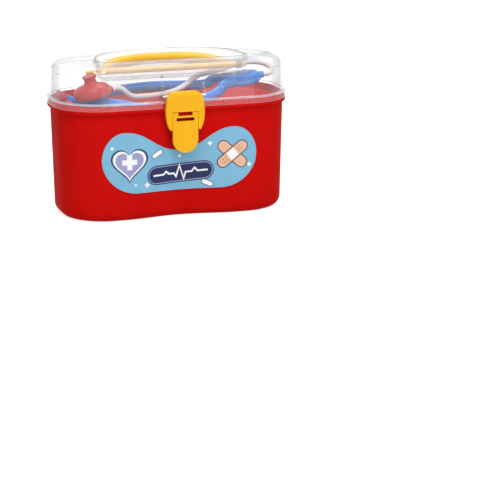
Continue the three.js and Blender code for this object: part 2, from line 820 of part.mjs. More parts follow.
// A thin sheet that follows the tub's front wall, cut to the label's outline.
function makeLabel() {
  const outer = loft(wallHeights.map((z) => wallRing(-gap - labelThickness, z)));
  const inner = loft([baseFillet - overrun, ...wallHeights, lipBottom + overrun].map((z) => wallRing(-gap, z)));
  const sheet = outer.subtract(inner);
  return piece("front_label", sheet.intersect(slabY(labelOutline(), -caseDepth, 0, labelShift)), skyBlue);
}

// Stethoscope

const hubFrame = new THREE.Matrix4()
  .makeTranslation(...hubCentre)
  .multiply(new THREE.Matrix4().makeRotationY(-hubTilt));

// A short round stub in the hub's own frame, from its middle out in one direction.
function hubStub(angle, from, to, radius) {
  const geometry = new THREE.CylinderGeometry(radius, radius, to - from, tubeSides);
  geometry.rotateZ(-Math.PI / 2);
  geometry.translate((from + to) / 2, 0, 0);
  geometry.rotateZ(angle);
  return toSolid(geometry);
}

function hubPlace(angle, reach) {
  const place = new THREE.Vector3(reach * Math.cos(angle), reach * Math.sin(angle), 0);
  return place.applyMatrix4(hubFrame).toArray();
}

const armAngles = { back: Math.PI - socketSpread, front: Math.PI + socketSpread };

function makeHub() {
  const half = hubBaseHeight;
  const base = turned([
    [0, -half],
    [hubRadius - hubRound, -half],
    [hubRadius, hubRound - half],
    [hubRadius, -hubRound],
    [hubRadius - hubRound, 0],
    [0, 0],
  ]);
  const sockets = Object.values(armAngles).map((angle) => hubStub(angle, 0, socketReach, socketRadius));
  const nipple = hubStub(nippleSwing, 0, nippleReach, nippleRadius);
  const wide = [-socketReach - overrun, nippleReach + overrun];
  const above = box(wide, wide, [0, hubRadius]);
  let body = base;
  for (const socket of sockets) body = body.add(socket.subtract(above));
  body = body.add(nipple.subtract(above));
  const capBottom = gap;
  const capTop = capBottom + hubCapHeight;
  const cap = turned([
    [0, capBottom],
    [hubCapRadius, capBottom],
    [hubCapRadius, capTop - hubRound],
    [hubCapRadius - hubRound, capTop],
    [hubButtonRadius + hubButtonRise, capTop],
    [hubButtonRadius, capTop + hubButtonRise],
    [0, capTop + hubButtonRise],
  ]);
  const below = box(wide, wide, [-hubRadius, capBottom]);
  let top = cap;
  for (const socket of sockets) top = top.add(socket.subtract(below));
  top = top.add(nipple.subtract(below));
  const group = new THREE.Group();
  group.add(piece("hub_base", body, blue), piece("hub_cap", top, blue));
  group.applyMatrix4(hubFrame);
  return group;
}

// Each arm's centre line after its socket, chosen by hand.
const frontArmRoute = [
  [47, -25.5, 120],
  [30, -34.5, 115.5],
  [10, -41.5, 111],
  [-14, -44, 108.8],
  [-36, -39.5, 109.3],
  [-54, -30.5, 112.4],
  [-68, -23, 113.6],
  [-80, -19.4, 112.2],
  [-91, -19.4, 109.6],
  [-98.4, -20.6, 110.4],
];
const backArmRoute = [
  [47, 17, 120.5],
  [30, 27.5, 118],
  [10, 38.5, 117],
  [-14, 44.6, 115.8],
  [-38, 42.5, 114],
  [-56, 36, 112.4],
  [-70, 28, 110.6],
  [-82, 21.8, 109.4],
  [-91.5, 19.6, 109.4],
  [-98.4, 20.2, 111.8],
];
function armTube(route, angle) {
  const start = [hubPlace(angle, socketReach + gap), hubPlace(angle, socketReach + 2 * tubeRadius)];
  return tubeAlong([...start, ...route.map(laid)], tubeRadius, armSteps);
}

// Narrow slots across the outer side of an arm, next to the hub.
function armSlots(angle, side) {
  const direction = new THREE.Vector3(Math.cos(angle), Math.sin(angle), 0);
  const slots = [];
  for (let i = 0; i < slotCount; i++) {
    const geometry = new THREE.BoxGeometry(slotWidth, slotDepth, 2 * (tubeRadius + overrun));
    geometry.translate(0, side * (tubeRadius - slotDepth / 2 + gap), 0);
    geometry.rotateZ(angle);
    const reach = socketReach + slotStart + i * slotStep;
    geometry.translate(direction.x * reach, direction.y * reach, 0);
    geometry.applyMatrix4(hubFrame);
    slots.push(toSolid(geometry));
  }
  return slots;
}

function makeArms() {
  const group = new THREE.Group();
  const arms = [
    ["arm_front", frontArmRoute, armAngles.front, 1],
    ["arm_back", backArmRoute, armAngles.back, -1],
  ];
  for (const [name, route, angle, side] of arms) {
    let arm = armTube(route, angle);
    for (const slot of armSlots(angle, side)) arm = arm.subtract(slot);
    group.add(piece(name, arm, blue));
  }
  return group;
}

// A bell-shaped ear tip that points along +Z from its narrow end at the origin.
function earShape() {
  return turned([
    [0, 0],
    [earNeck, 0],
    [earNeck, earTip],
    [earRadius - edgeRound, earLength / 2],
    [earRadius, earLength * earWidestShare],
    [earRadius - edgeRound, earLength],
    [earNeck, earLength],
    [earTip, earLength - earTip],
    [0, earLength - earTip],
  ]);
}

function makeEarTips() {
  const group = new THREE.Group();
  for (const [name, route] of [["ear_tip_front", frontArmRoute], ["ear_tip_back", backArmRoute]]) {
    const [before, end] = route.slice(-2).map((p) => new THREE.Vector3(...laid(p)));
    const direction = end.clone().sub(before).normalize();
    const tip = piece(name, earShape(), red);
    tip.quaternion.setFromUnitVectors(new THREE.Vector3(0, 0, 1), direction);
    tip.position.copy(end).addScaledVector(direction, gap);
    group.add(tip);
  }
  return group;
}

const chestFrame = new THREE.Matrix4()
  .makeTranslation(...chestCentre)
  .multiply(new THREE.Matrix4().makeRotationY(chestLean));

function makeChestPiece() {
  const lip = chestBaseHeight / 2;
  const shoulder = bellShoulder;
  const inner = bellRadius - bellWall;
  const bell = turned([
    [0, shoulder - bellWall],
    [inner * bellHollowShare, shoulder - 2 * bellWall],
    [inner, bellHeight * bellRimShare],
    [inner, lip],
    [bellRadius, lip],
    [bellRadius, bellHeight * bellRimShare],
    [bellRadius - bellWall / 2, bellHeight / 2],
    [bellRadius * bellShoulderShare, shoulder],
    [bellNeck + bellWall, shoulder + bellWall + edgeRound],
    [bellNeck, bellHeight - bellWall],
    [knobRadius, bellHeight],
    [knobRadius, bellHeight + knobThickness - edgeRound],
    [knobRadius - edgeRound, bellHeight + knobThickness],
    [0, bellHeight + knobThickness],
  ]);
  const nipple = new THREE.CylinderGeometry(nippleRadius, nippleRadius, chestNippleReach - inner, tubeSides);
  nipple.rotateZ(-Math.PI / 2);
  nipple.translate((chestNippleReach + inner) / 2, 0, chestNippleHeight);
  const base = turned([
    [0, diaphragmThickness + gap],
    [diaphragmRadius + gap, diaphragmThickness + gap],
    [diaphragmRadius + gap, 0],
    [chestBaseRadius, 0],
    [chestBaseRadius, chestBaseHeight],
    [0, chestBaseHeight],
  ]);
  const diaphragm = turned([
    [0, 0],
    [diaphragmRadius, 0],
    [diaphragmRadius, diaphragmThickness],
    [0, diaphragmThickness],
  ]);
  const group = new THREE.Group();
  group.add(
    piece("chest_bell", bell.add(toSolid(nipple)), red),
    piece("chest_base", base, blue),
    piece("chest_diaphragm", diaphragm, white),
  );
  group.applyMatrix4(chestFrame);
  return group;
}

// The hose's free route between its two nipples, chosen by hand.
const hoseRoute = [
  [111, 0.5, 134],
  [111, 9.5, 136.6],
  [105.4, 16.6, 138.8],
  [96.5, 20.4, 139.6],
  [87, 22.6, 138.8],
  [77.5, 24.8, 136.2],
  [67.5, 27, 132.8],
  [57.5, 27.2, 130.8],
  [48, 24.4, 130],
  [39, 19, 129],
  [30.5, 12.4, 126.6],
  [22, 5.6, 123.2],
  [12, -0.6, 119.8],
  [0, -5.6, 117.6],
  [-13, -9.4, 116.6],
  [-27, -12.6, 116.8],
  [-40, -15, 118],
];

function makeHose() {
  const chestPoint = (reach) =>
    new THREE.Vector3(reach, 0, chestNippleHeight).applyMatrix4(chestFrame).toArray();
  const straight = 2 * hoseRadius;
  const points = [
    hubPlace(nippleSwing, nippleReach + gap),
    hubPlace(nippleSwing, nippleReach + gap + straight),
    ...hoseRoute.map(laid),
    chestPoint(chestNippleReach + gap + straight),
    chestPoint(chestNippleReach + gap),
  ];
  return piece("stethoscope_hose", tubeAlong(points, hoseRadius, hoseSteps, hoseSides), paleGrey);
}

const doctorCase = new THREE.Group();
doctorCase.add(makeTub(), makeLid(), makeHandle(), makeLatchPlate(), makeLatchLever(), makePins(), makeLabel());
doctorCase.add(makeHub(), makeArms(), makeEarTips(), makeChestPiece(), makeHose());

export default doctorCase;
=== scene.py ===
import json
import math

import bmesh
import bpy
from mathutils import Matrix, Vector
from mathutils.geometry import interpolate_bezier


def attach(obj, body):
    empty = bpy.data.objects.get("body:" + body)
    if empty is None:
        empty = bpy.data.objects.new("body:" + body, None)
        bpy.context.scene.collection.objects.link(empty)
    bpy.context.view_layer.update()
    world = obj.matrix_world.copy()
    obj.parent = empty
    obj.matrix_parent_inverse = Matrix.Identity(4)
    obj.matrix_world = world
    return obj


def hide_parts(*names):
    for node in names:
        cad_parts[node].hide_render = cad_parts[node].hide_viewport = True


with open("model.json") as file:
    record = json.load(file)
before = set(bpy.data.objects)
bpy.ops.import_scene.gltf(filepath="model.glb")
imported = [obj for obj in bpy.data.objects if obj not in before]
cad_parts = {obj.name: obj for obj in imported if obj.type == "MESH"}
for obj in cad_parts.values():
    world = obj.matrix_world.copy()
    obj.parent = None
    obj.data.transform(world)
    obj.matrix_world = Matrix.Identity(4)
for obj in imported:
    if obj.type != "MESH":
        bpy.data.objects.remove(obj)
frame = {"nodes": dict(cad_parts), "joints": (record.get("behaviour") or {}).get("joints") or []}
nodes = frame["nodes"]
pivots = {joint["name"]: joint["pos_m"] for joint in frame["joints"]}
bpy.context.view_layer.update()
scene = bpy.context.scene
print("frame loaded")


# Camera

camera = {
    "place": (-0.57898, -1.97867, 0.48546),
    "tilt": math.radians(75.53),
    "turn": math.radians(-18.62),
    "lens": 150.1,
    "sensor": 36,
    "nearest": 0.05,
}


def addCamera():
    data = bpy.data.cameras.new("photoCamera")
    data.lens = camera["lens"]
    data.sensor_width = camera["sensor"]
    data.clip_start = camera["nearest"]
    holder = bpy.data.objects.new("photoCamera", data)
    holder.location = camera["place"]
    holder.rotation_euler = (camera["tilt"], 0, camera["turn"])
    scene.collection.objects.link(holder)
    scene.camera = holder


addCamera()


# Shader maths

class Shade:
    # One value in a material's nodes. Operators on it add Math nodes.
    def __init__(self, tree, socket):
        self.tree = tree
        self.socket = socket

    def node(self, kind, settings, inputs, output=0):
        return makeNode(self.tree, kind, settings, inputs, output)

    def maths(self, operation, first, second=0.0):
        return self.node("ShaderNodeMath", {"operation": operation}, {0: first, 1: second})

    def __add__(self, other):
        return self.maths("ADD", self, other)

    def __sub__(self, other):
        return self.maths("SUBTRACT", self, other)

    def __rsub__(self, other):
        return self.maths("SUBTRACT", other, self)

    def __mul__(self, other):
        return self.maths("MULTIPLY", self, other)

    def __truediv__(self, other):
        return self.maths("DIVIDE", self, other)

    def __pow__(self, other):
        return self.maths("POWER", self, other)

    __radd__ = __add__
    __rmul__ = __mul__

    def clamped(self):
        return self.node("ShaderNodeClamp", {}, {0: self})

    def between(self, low, high):
        stretch = {"From Min": low, "From Max": high, "Value": self}
        return self.node("ShaderNodeMapRange", {"interpolation_type": "SMOOTHSTEP"}, stretch)


def setInputs(tree, node, inputs):
    for key, value in inputs.items():
        if isinstance(value, Shade):
            tree.links.new(value.socket, node.inputs[key])
        else:
            node.inputs[key].default_value = value


def makeNode(tree, kind, settings, inputs, output=0):
    node = tree.nodes.new(kind)
    for key, value in settings.items():
        setattr(node, key, value)
    setInputs(tree, node, inputs)
    return Shade(tree, node.outputs[output])


def startMaterial(name):
    material = bpy.data.materials.new(name)
    material.use_nodes = True
    return material, makeNode(material.node_tree, "ShaderNodeTexCoord", {}, {}, "Object")


def noise(place, scale, detail=2.0, roughness=0.5, distortion=0.0):
    inputs = {"Vector": place, "Scale": scale, "Detail": detail}
    inputs.update({"Roughness": roughness, "Distortion": distortion})
    return place.node("ShaderNodeTexNoise", {}, inputs, "Fac")


def stretched(place, scale):
    return place.node("ShaderNodeMapping", {"vector_type": "POINT"}, {"Vector": place, "Scale": scale})


def mixColour(place, factor, first, second):
    settings = {"data_type": "RGBA"}
    return place.node("ShaderNodeMix", settings, {0: factor, 6: first, 7: second}, 2)


def bump(place, height, strength, distance):
    inputs = {"Height": height, "Strength": strength, "Distance": distance}
    return place.node("ShaderNodeBump", {}, inputs, "Normal")


# 1 on rays of the named kinds, and 0 on all others.
def raysOf(tree, *kinds):
    found = [makeNode(tree, "ShaderNodeLightPath", {}, {}, f"Is {kind} Ray") for kind in kinds]
    return sum(found[1:], found[0]).clamped()


# Sets or links the sockets of a material's main shader.
def feed(material, **inputs):
    tree = material.node_tree
    shader = tree.nodes["Principled BSDF"]
    setInputs(tree, shader, {key.replace("_", " "): value for key, value in inputs.items()})


# Finishes

# Each moulded plastic's colour, its slightly darker shade, its roughness and its shine.
plastics = {
    "tubRed": ((0.55, 0.0048, 0.0034), (0.5, 0.0036, 0.0028), 0.5, 0.003),
    # The inside of the tub is the same red, painted brighter and pinker as painted light inside the case.
    "tubInside": ((0.98, 0.028, 0.05), (0.94, 0.022, 0.042), 0.5, 0.02),
    "handleYellow": ((0.85, 0.5, 0.02), (0.78, 0.43, 0.014), 0.3, 0.3),
    "latchYellow": ((0.86, 0.43, 0.009), (0.79, 0.37, 0.007), 0.32, 0.12),
    "stethoscopeBlue": ((0.03, 0.2, 0.66), (0.022, 0.165, 0.6), 0.32, 0.3),
    "stethoscopeRed": ((0.5, 0.01, 0.018), (0.45, 0.008, 0.014), 0.28, 0.3),
}
# Here and below, a noise is given by its scale, detail, roughness and distortion.
plasticSkin = {
    "clouds": (28.0, 3.0),
    "cloudRange": (0.35, 0.7),
    "cloudShare": 0.55,
    "flow": (70.0, 2.0, 0.5, 0.6),  # faint flow lines up from the gate
    "flowStretch": (1.0, 1.0, 0.22),
    "flowRange": (0.4, 0.7),
    "flowShare": 0.35,
    "peel": (420.0, 2.0, 0.55),
    "grain": (2600.0, 1.0),
    "rubs": (240.0, 4.0, 0.7, 1.2),
    "rubStretch": (1.0, 1.0, 9.0),
    "rubRange": (0.62, 0.74),
    "cloudRough": 0.08,
    "rubRough": 0.1,
    "grainRough": 0.05,
    "peelHeight": 0.14,
    "grainHeight": 0.03,
    "rubHeight": 0.05,
    "relief": (0.35, 0.0006),
    "coat": 0.02,
    "coatRough": 0.1,
}


def mouldedPlastic(name):
    mainColour, shade, baseRough, shine = plastics[name]
    skin = plasticSkin
    material, place = startMaterial(name)
    clouds = noise(place, *skin["clouds"])
    flow = noise(stretched(place, skin["flowStretch"]), *skin["flow"])
    peel = noise(place, *skin["peel"])
    grain = noise(place, *skin["grain"])
    rubbed = noise(stretched(place, skin["rubStretch"]), *skin["rubs"]).between(*skin["rubRange"])
    shadeMix = clouds.between(*skin["cloudRange"]) * skin["cloudShare"]
    shadeMix = (shadeMix + flow.between(*skin["flowRange"]) * skin["flowShare"]).clamped()
    colour = mixColour(place, shadeMix, (*mainColour, 1), (*shade, 1))
    rough = baseRough + (clouds - 0.5) * skin["cloudRough"] + rubbed * skin["rubRough"]
    rough = rough + (grain - 0.5) * skin["grainRough"]
    height = peel * skin["peelHeight"] + grain * skin["grainHeight"] + rubbed * skin["rubHeight"]
    feed(material, Base_Color=colour, Roughness=rough, Normal=bump(place, height, *skin["relief"]))
    feed(material, Specular_IOR_Level=shine)
    feed(material, Coat_Weight=skin["coat"], Coat_Roughness=skin["coatRough"])
    return material


clearLook = {
    "tint": (0.72, 0.73, 0.75, 1),
    "whiteTint": (0.9, 0.905, 0.915, 1),
    "edgeTint": (0.38, 0.39, 0.42, 1),
    "seamTint": (0.34, 0.35, 0.38, 1),
    "veilFrom": 0.62,
    "wallVeilFrom": 0.22,
    "veilCover": 0.25,
    "edgeFrom": 0.87,
    "edgeCover": 0.45,
    "trayShare": 0.45,
    "mirror": 0.04,
    "grazing": 0.12,
    "depth": 2.5,
    "shadow": 0.15,
    "smudge": (32.0, 4.0, 0.6, 0.8),
    "smudgeRange": (0.45, 0.75),
    "smudgeLow": 0.75,
    "smudgeMore": 0.5,
    "waves": (55.0, 1.0),
    "scratch": (210.0, 3.0, 0.6, 0.5),
    "scratchStretch": (1.0, 1.0, 14.0),
    "scratchRange": (0.68, 0.74),
    "scratchCover": 0.03,
    "rough": 0.04,
    "smudgeRough": 0.06,
    "scratchRough": 0.1,
    "ripple": (0.15, 0.0008),
}
clearCovers = {"lidClear": 0.03, "lidTray": 0.26, "lidRim": 0.34, "lidSeam": 0.65, "lidWall": 0.03}
# The tray and the rim are painted milky white as a painted highlight.
paintedHighlightFinishes = ("lidTray", "lidRim")  # the tray and the rim look milky


# Clear plastic: a thin haze under a mirror that strengthens towards grazing views, with a painted grey shade
# towards the outline.
def clearPlastic(name):
    look = clearLook
    material, place = startMaterial(name)
    smudge = noise(place, *look["smudge"]).between(*look["smudgeRange"])
    scratch = noise(stretched(place, look["scratchStretch"]), *look["scratch"]).between(*look["scratchRange"])
    ripple = bump(place, noise(place, *look["waves"]), *look["ripple"])
    facing = place.node("ShaderNodeLayerWeight", {}, {"Blend": 0.5, "Normal": ripple}, "Facing")
    mirror = look["mirror"] + (facing ** 5.0) * look["grazing"]
    # Painted shade: a grey veil and edge grow towards the outline, and on the walls from lower angles.
    veilFrom = look["wallVeilFrom" if name == "lidWall" else "veilFrom"]
    edge = facing.between(look["edgeFrom"], 1.0) * look["edgeCover"]
    edge = edge + facing.between(veilFrom, 1.0) * look["veilCover"]
    if name == "lidTray":
        edge = edge * look["trayShare"]
    haze = (smudge * look["smudgeMore"] + look["smudgeLow"]) * clearCovers[name]
    haze = haze * (1.0 + (facing ** 3.0) * look["depth"]) + scratch * look["scratchCover"]
    casting = raysOf(material.node_tree, "Shadow", "Diffuse")
    cover = (mirror + haze + edge).clamped()
    # Seam bands take a dark grey, painted shade along the lid's creases, and the tray and the rim a milky
    # white painted highlight.
    plain = look["seamTint" if name == "lidSeam" else "whiteTint" if name in paintedHighlightFinishes else "tint"]
    # The colour turns to the painted grey shade towards the outline.
    tint = mixColour(place, facing.between(veilFrom, look["edgeFrom"]), plain, look["edgeTint"])
    rough = look["rough"] + smudge * look["smudgeRough"] + scratch * look["scratchRough"]
    feed(material, Base_Color=tint, Metallic=mirror / cover, Roughness=rough, Normal=ripple)
    feed(material, Alpha=cover * (1.0 - casting * (1 - look["shadow"])))
    return material


# The two close shades of each printed or plain film.
films = {
    "labelBlue": ((0.185, 0.43, 0.61), (0.21, 0.47, 0.65)),
    "printNavy": ((0.018, 0.026, 0.09), (0.022, 0.032, 0.11)),
    "printLilac": ((0.3, 0.3, 0.52), (0.35, 0.35, 0.57)),
    "printWhite": ((0.86, 0.87, 0.88), (0.8, 0.82, 0.84)),
    "printSand": ((0.72, 0.42, 0.27), (0.78, 0.47, 0.31)),
    "diaphragmWhite": ((0.8, 0.8, 0.79), (0.74, 0.74, 0.73)),
}
filmSkin = {
    "dots": 1500.0,
    "mottle": (60.0, 3.0),
    "mottleRange": (0.3, 0.7),
    "mottleShare": 0.6,
    "fibres": (300.0, 2.0),
    "dotHeight": 0.2,
    "rough": 0.42,
    "mottleRough": 0.12,
    "relief": (0.12, 0.0002),
    "shine": 0.15,
    "coat": 0.05,
    "coatRough": 0.2,
}


def printedFilm(name):
    skin = filmSkin
    material, place = startMaterial(name)
    dots = place.node("ShaderNodeTexVoronoi", {}, {"Vector": place, "Scale": skin["dots"]}, "Distance")
    mottle = noise(place, *skin["mottle"])
    inkMix = (mottle.between(*skin["mottleRange"]) * skin["mottleShare"]).clamped()
    ink = mixColour(place, inkMix, *[(*colour, 1) for colour in films[name]])
    rough = skin["rough"] + (mottle - 0.5) * skin["mottleRough"]
    height = dots * skin["dotHeight"] + noise(place, *skin["fibres"])
    feed(material, Base_Color=ink, Roughness=rough, Normal=bump(place, height, *skin["relief"]))
    feed(material, Specular_IOR_Level=skin["shine"])
    feed(material, Coat_Weight=skin["coat"], Coat_Roughness=skin["coatRough"])
    return material


hoseLook = {
    "colour": (0.72, 0.67, 0.65, 1),
    "shade": (0.65, 0.6, 0.58, 1),
    "mottle": (90.0, 3.0),
    "mottleRange": (0.3, 0.75),
    "dust": (700.0, 2.0),
    "dustRange": (0.55, 0.8),
    "rough": 0.42,
    "dustRough": 0.15,
    "mottleRough": 0.1,
    "dustHeight": 0.3,
    "relief": (0.15, 0.0004),
    "glow": 0.15,
    "glowDepth": 0.002,
}


def softHose():
    look = hoseLook
    material, place = startMaterial("hoseGrey")
    mottle = noise(place, *look["mottle"])
    dust = noise(place, *look["dust"]).between(*look["dustRange"])
    colour = mixColour(place, mottle.between(*look["mottleRange"]), look["colour"], look["shade"])
    rough = look["rough"] + dust * look["dustRough"] + (mottle - 0.5) * look["mottleRough"]
    relief = bump(place, mottle + dust * look["dustHeight"], *look["relief"])
    feed(material, Base_Color=colour, Roughness=rough, Normal=relief)
    feed(material, Subsurface_Weight=look["glow"], Subsurface_Scale=look["glowDepth"])
    return material


steelLook = {
    "colour": (0.62, 0.63, 0.65, 1),
    "tarnished": (0.45, 0.45, 0.46, 1),
    "drawn": (3200.0, 2.0),
    "drawnStretch": (0.05, 1.0, 1.0),
    "tarnish": (260.0, 3.0),
    "tarnishRange": (0.4, 0.75),
    "roughRange": (0.5, 0.8),
    "rough": 0.24,
    "drawnRough": 0.16,
    "tarnishRough": 0.12,
    "relief": (0.1, 0.0001),
}


def pinSteel():
    look = steelLook
    material, place = startMaterial("pinSteel")
    drawn = noise(stretched(place, look["drawnStretch"]), *look["drawn"])
    tarnish = noise(place, *look["tarnish"])
    colour = mixColour(place, tarnish.between(*look["tarnishRange"]), look["colour"], look["tarnished"])
    rough = look["rough"] + (drawn - 0.5) * look["drawnRough"]
    rough = rough + tarnish.between(*look["roughRange"]) * look["tarnishRough"]
    relief = bump(place, drawn, *look["relief"])
    feed(material, Base_Color=colour, Metallic=1.0, Roughness=rough, Normal=relief)
    return material


finishes = {name: mouldedPlastic(name) for name in plastics}
finishes.update({name: clearPlastic(name) for name in clearCovers})
finishes["hoseGrey"] = softHose()
finishes["pinSteel"] = pinSteel()
finishes.update({name: printedFilm(name) for name in films})
print("finishes made")


# Mesh helpers

closest = 0.000001  # points nearer than this are one


def meshOf(bm):
    mesh = bpy.data.meshes.new("working")
    bmesh.ops.recalc_face_normals(bm, faces=bm.faces)
    bm.to_mesh(mesh)
    bm.free()
    return mesh


def addPiece(name, bm, body, slot, finish, replaced=(), sharp=32):
    placeMesh(name, meshOf(bm), body, finish, replaced, sharp)


def placeMesh(name, mesh, body, finish, replaced=(), sharp=32):
    mesh.name = name
    piece = bpy.data.objects.new(name, mesh)
    scene.collection.objects.link(piece)
    mesh.set_sharp_from_angle(angle=math.radians(sharp))
    for one in finish if isinstance(finish, list) else [finish]:
        mesh.materials.append(finishes[one])
    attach(piece, body)
    if replaced:
        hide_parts(*replaced)
    return piece


def smoothFaces(faces):
    for face in faces:
        face.smooth = True


# A closed skin: a ring of stations is extruded from loop to loop, and each loop places its stations.
def growSkin(bm, loops, count, kinds=()):
    station = bm.verts.layers.int.new("station")
    ring = bmesh.ops.create_circle(bm, cap_ends=False, radius=1, segments=count)["verts"]
    for number, vert in enumerate(ring):
        vert[station] = number
        vert.co = loops[0](number)
    first = list({edge for vert in ring for edge in vert.link_edges})
    last = first
    for step, place in enumerate(loops[1:]):
        grown = bmesh.ops.extrude_edge_only(bm, edges=last)["geom"]
        for face in (part for part in grown if isinstance(part, bmesh.types.BMFace)):
            face.material_index = kinds[step] if kinds else 0
        verts = {part for part in grown if isinstance(part, bmesh.types.BMVert)}
        for vert in verts:
            vert.co = place(vert[station])
        last = [p for p in grown if isinstance(p, bmesh.types.BMEdge) and all(v in verts for v in p.verts)]
    smoothFaces(bm.faces)
    for rim, end in ((first, 0), (last, -1)):
        for cap in bmesh.ops.contextual_create(bm, geom=rim)["faces"]:
            cap.smooth = False
            cap.material_index = kinds[end] if kinds else 0


# Turns a profile of radius and height once round Z.
def lathe(bm, profile, steps=96):
    verts = [bm.verts.new((r, 0, z)) for r, z in profile]
    edges = [bm.edges.new(pair) for pair in zip(verts, verts[1:])]
    bmesh.ops.spin(
        bm, geom=verts + edges, cent=(0, 0, 0), axis=(0, 0, 1), angle=2 * math.pi, steps=steps, use_merge=True
    )
    bmesh.ops.remove_doubles(bm, verts=bm.verts, dist=closest)
    smoothFaces(bm.faces)


def softenEdges(bm, width, segments=3, sharper=40):
    edges = [e for e in bm.edges if e.is_manifold and e.calc_face_angle(0) > math.radians(sharper)]
    bmesh.ops.bevel(
        bm,
        geom=edges,
        offset=width,
        segments=segments,
        profile=0.5,
        affect="EDGES",
        material=-1,
        clamp_overlap=True,
    )
    smoothFaces(bm.faces)


def addBar(bm, start, end, radius, segments=40):
    start, end = Vector(start), Vector(end)
    along = end - start
    turn = Vector((0, 0, 1)).rotation_difference(along).to_matrix().to_4x4()
    bmesh.ops.create_cone(
        bm,
        cap_ends=True,
        segments=segments,
        radius1=radius,
        radius2=radius,
        depth=along.length,
        matrix=Matrix.Translation((start + end) / 2) @ turn,
    )


def addBlock(bm, low, high):
    low, high = Vector(low), Vector(high)
    grow = Matrix.Diagonal((*(high - low), 1))
    return bmesh.ops.create_cube(bm, size=1, matrix=Matrix.Translation((low + high) / 2) @ grow)["verts"]


# Flat faces keep their place, and a copy of them is pulled away, so that they become a solid.
def pullFaces(bm, faces, along):
    pulled = bmesh.ops.extrude_face_region(bm, geom=faces, use_keep_orig=True)["geom"]
    verts = [part for part in pulled if isinstance(part, bmesh.types.BMVert)]
    bmesh.ops.translate(bm, vec=along, verts=verts)


# A flat outline, with holes, drawn in X and Z and pulled along Y.
def addSlab(bm, outline, front, back, holes=()):
    edges = []
    for loop in (outline, *holes):
        verts = [bm.verts.new((x, front, z)) for x, z in loop]
        edges += [bm.edges.new((a, b)) for a, b in zip(verts, verts[1:] + verts[:1])]
    bmesh.ops.triangle_fill(bm, edges=edges, use_beauty=True)
    flat = list(bm.faces)
    inner = list({edge for face in flat for edge in face.edges} - set(edges))
    if not holes:
        bmesh.ops.dissolve_edges(bm, edges=inner)
    pullFaces(bm, list(bm.faces), (0, back - front, 0))


def arcPoints(centre, radius, start, end, steps):
    angles = [math.radians(start + (end - start) * i / steps) for i in range(steps + 1)]
    return [(centre[0] + radius * math.cos(a), centre[1] + radius * math.sin(a)) for a in angles]


# Joins, cuts or intersects one mesh with others and returns the finished mesh.
def combine(mesh, steps):
    base = bpy.data.objects.new("working", mesh)
    scene.collection.objects.link(base)
    helpers = [base]
    for operation, other in steps:
        helper = bpy.data.objects.new("helper", other)
        scene.collection.objects.link(helper)
        helpers.append(helper)
        modifier = base.modifiers.new(operation, "BOOLEAN")
        modifier.operation = operation
        modifier.solver = "EXACT"
        modifier.object = helper
    bpy.context.view_layer.update()
    made = bpy.data.meshes.new_from_object(base.evaluated_get(bpy.context.evaluated_depsgraph_get()))
    for helper in helpers:
        bpy.data.objects.remove(helper)
    return made


def bevelPiece(piece, width, segments=3, sharper=35):
    modifier = piece.modifiers.new("rounded edges", "BEVEL")
    modifier.width = width
    modifier.segments = segments
    modifier.limit_method = "ANGLE"
    modifier.angle_limit = math.radians(sharper)
    modifier.harden_normals = True


# Case outline

case = {
    "length": 0.240,
    "depth": 0.114,
    "corner": 0.048,
    "baseLength": 0.228,
    "baseDepth": 0.107,
    "baseCorner": 0.045,
    "waist": 0.007,
    "waistReach": 0.060,
    "baseFillet": 0.0095,
    "wall": 0.0022,
    "floor": 0.0024,
    "wallInset": 0.0034,
    "lipInset": 0.0003,
    "lipBottom": 0.1068,
    "lipRise": 0.0026,
    "lipTop": 0.1112,
    "cornerSteps": 22,
    "sideSteps": 30,
    "filletSteps": 7,
    "wallSteps": 12,
}
caseStations = 4 * (case["cornerSteps"] + case["sideSteps"])


# How far the waist draws a long side in, at a place along it.
def waistDraw(x, waist):
    if abs(x) >= case["waistReach"]:
        return 0
    return waist * math.cos(math.pi * x / (2 * case["waistReach"])) ** 2


def outlinePlace(number, length, depth, corner, waist):
    quarter, step = divmod(number, case["cornerSteps"] + case["sideSteps"])
    signs = [(1, 1), (-1, 1), (-1, -1), (1, -1)]

    def arcEnd(index, share):
        sx, sy = signs[index % 4]
        angle = math.pi / 2 * (index + share)
        return Vector((
            sx * (length / 2 - corner) + corner * math.cos(angle),
            sy * (depth / 2 - corner) + corner * math.sin(angle),
        ))

    if step <= case["cornerSteps"]:
        place = arcEnd(quarter, step / case["cornerSteps"])
    else:
        share = (step - case["cornerSteps"]) / case["sideSteps"]
        place = arcEnd(quarter, 1).lerp(arcEnd(quarter + 1, 0), share)
    place.y -= math.copysign(waistDraw(place.x, waist), place.y)
    return place


# A level loop: the outline gives each station's place across and deep.
def levelLoop(z, outline, *sizes):
    return lambda number: Vector((*outline(number, *sizes), z))


def caseLoop(inset, z):
    length, depth = case["length"] - 2 * inset, case["depth"] - 2 * inset
    return levelLoop(z, outlinePlace, length, depth, case["corner"] - inset, 0)


def eased(share):
    return share * share * (3 - 2 * share)


def wallSizes(inset, z):
    rise = min(max(z / case["lipBottom"], 0), 1)

    def mix(low, high):
        return low + (high - low) * rise

    length = mix(case["baseLength"], case["length"] - 2 * case["wallInset"]) - 2 * inset
    depth = mix(case["baseDepth"], case["depth"] - 2 * case["wallInset"]) - 2 * inset
    corner = mix(case["baseCorner"], case["corner"] - case["wallInset"]) - inset
    return length, depth, corner, case["waist"] * (1 - eased(rise))


def wallLoop(inset, z):
    return levelLoop(z, outlinePlace, *wallSizes(inset, z))


# Loops along a quarter arc, from a flat to a wall: inset and z are the wall's inset and the flat's
# height, and across and up lead from that corner to the arc's centre.
def arcLoops(loop, inset, z, across, up, steps=case["filletSteps"]):
    turns = [math.pi / 2 * i / steps for i in range(steps + 1)]
    return [loop(inset + across * (1 - math.sin(a)), z + up * (1 - math.cos(a))) for a in turns]


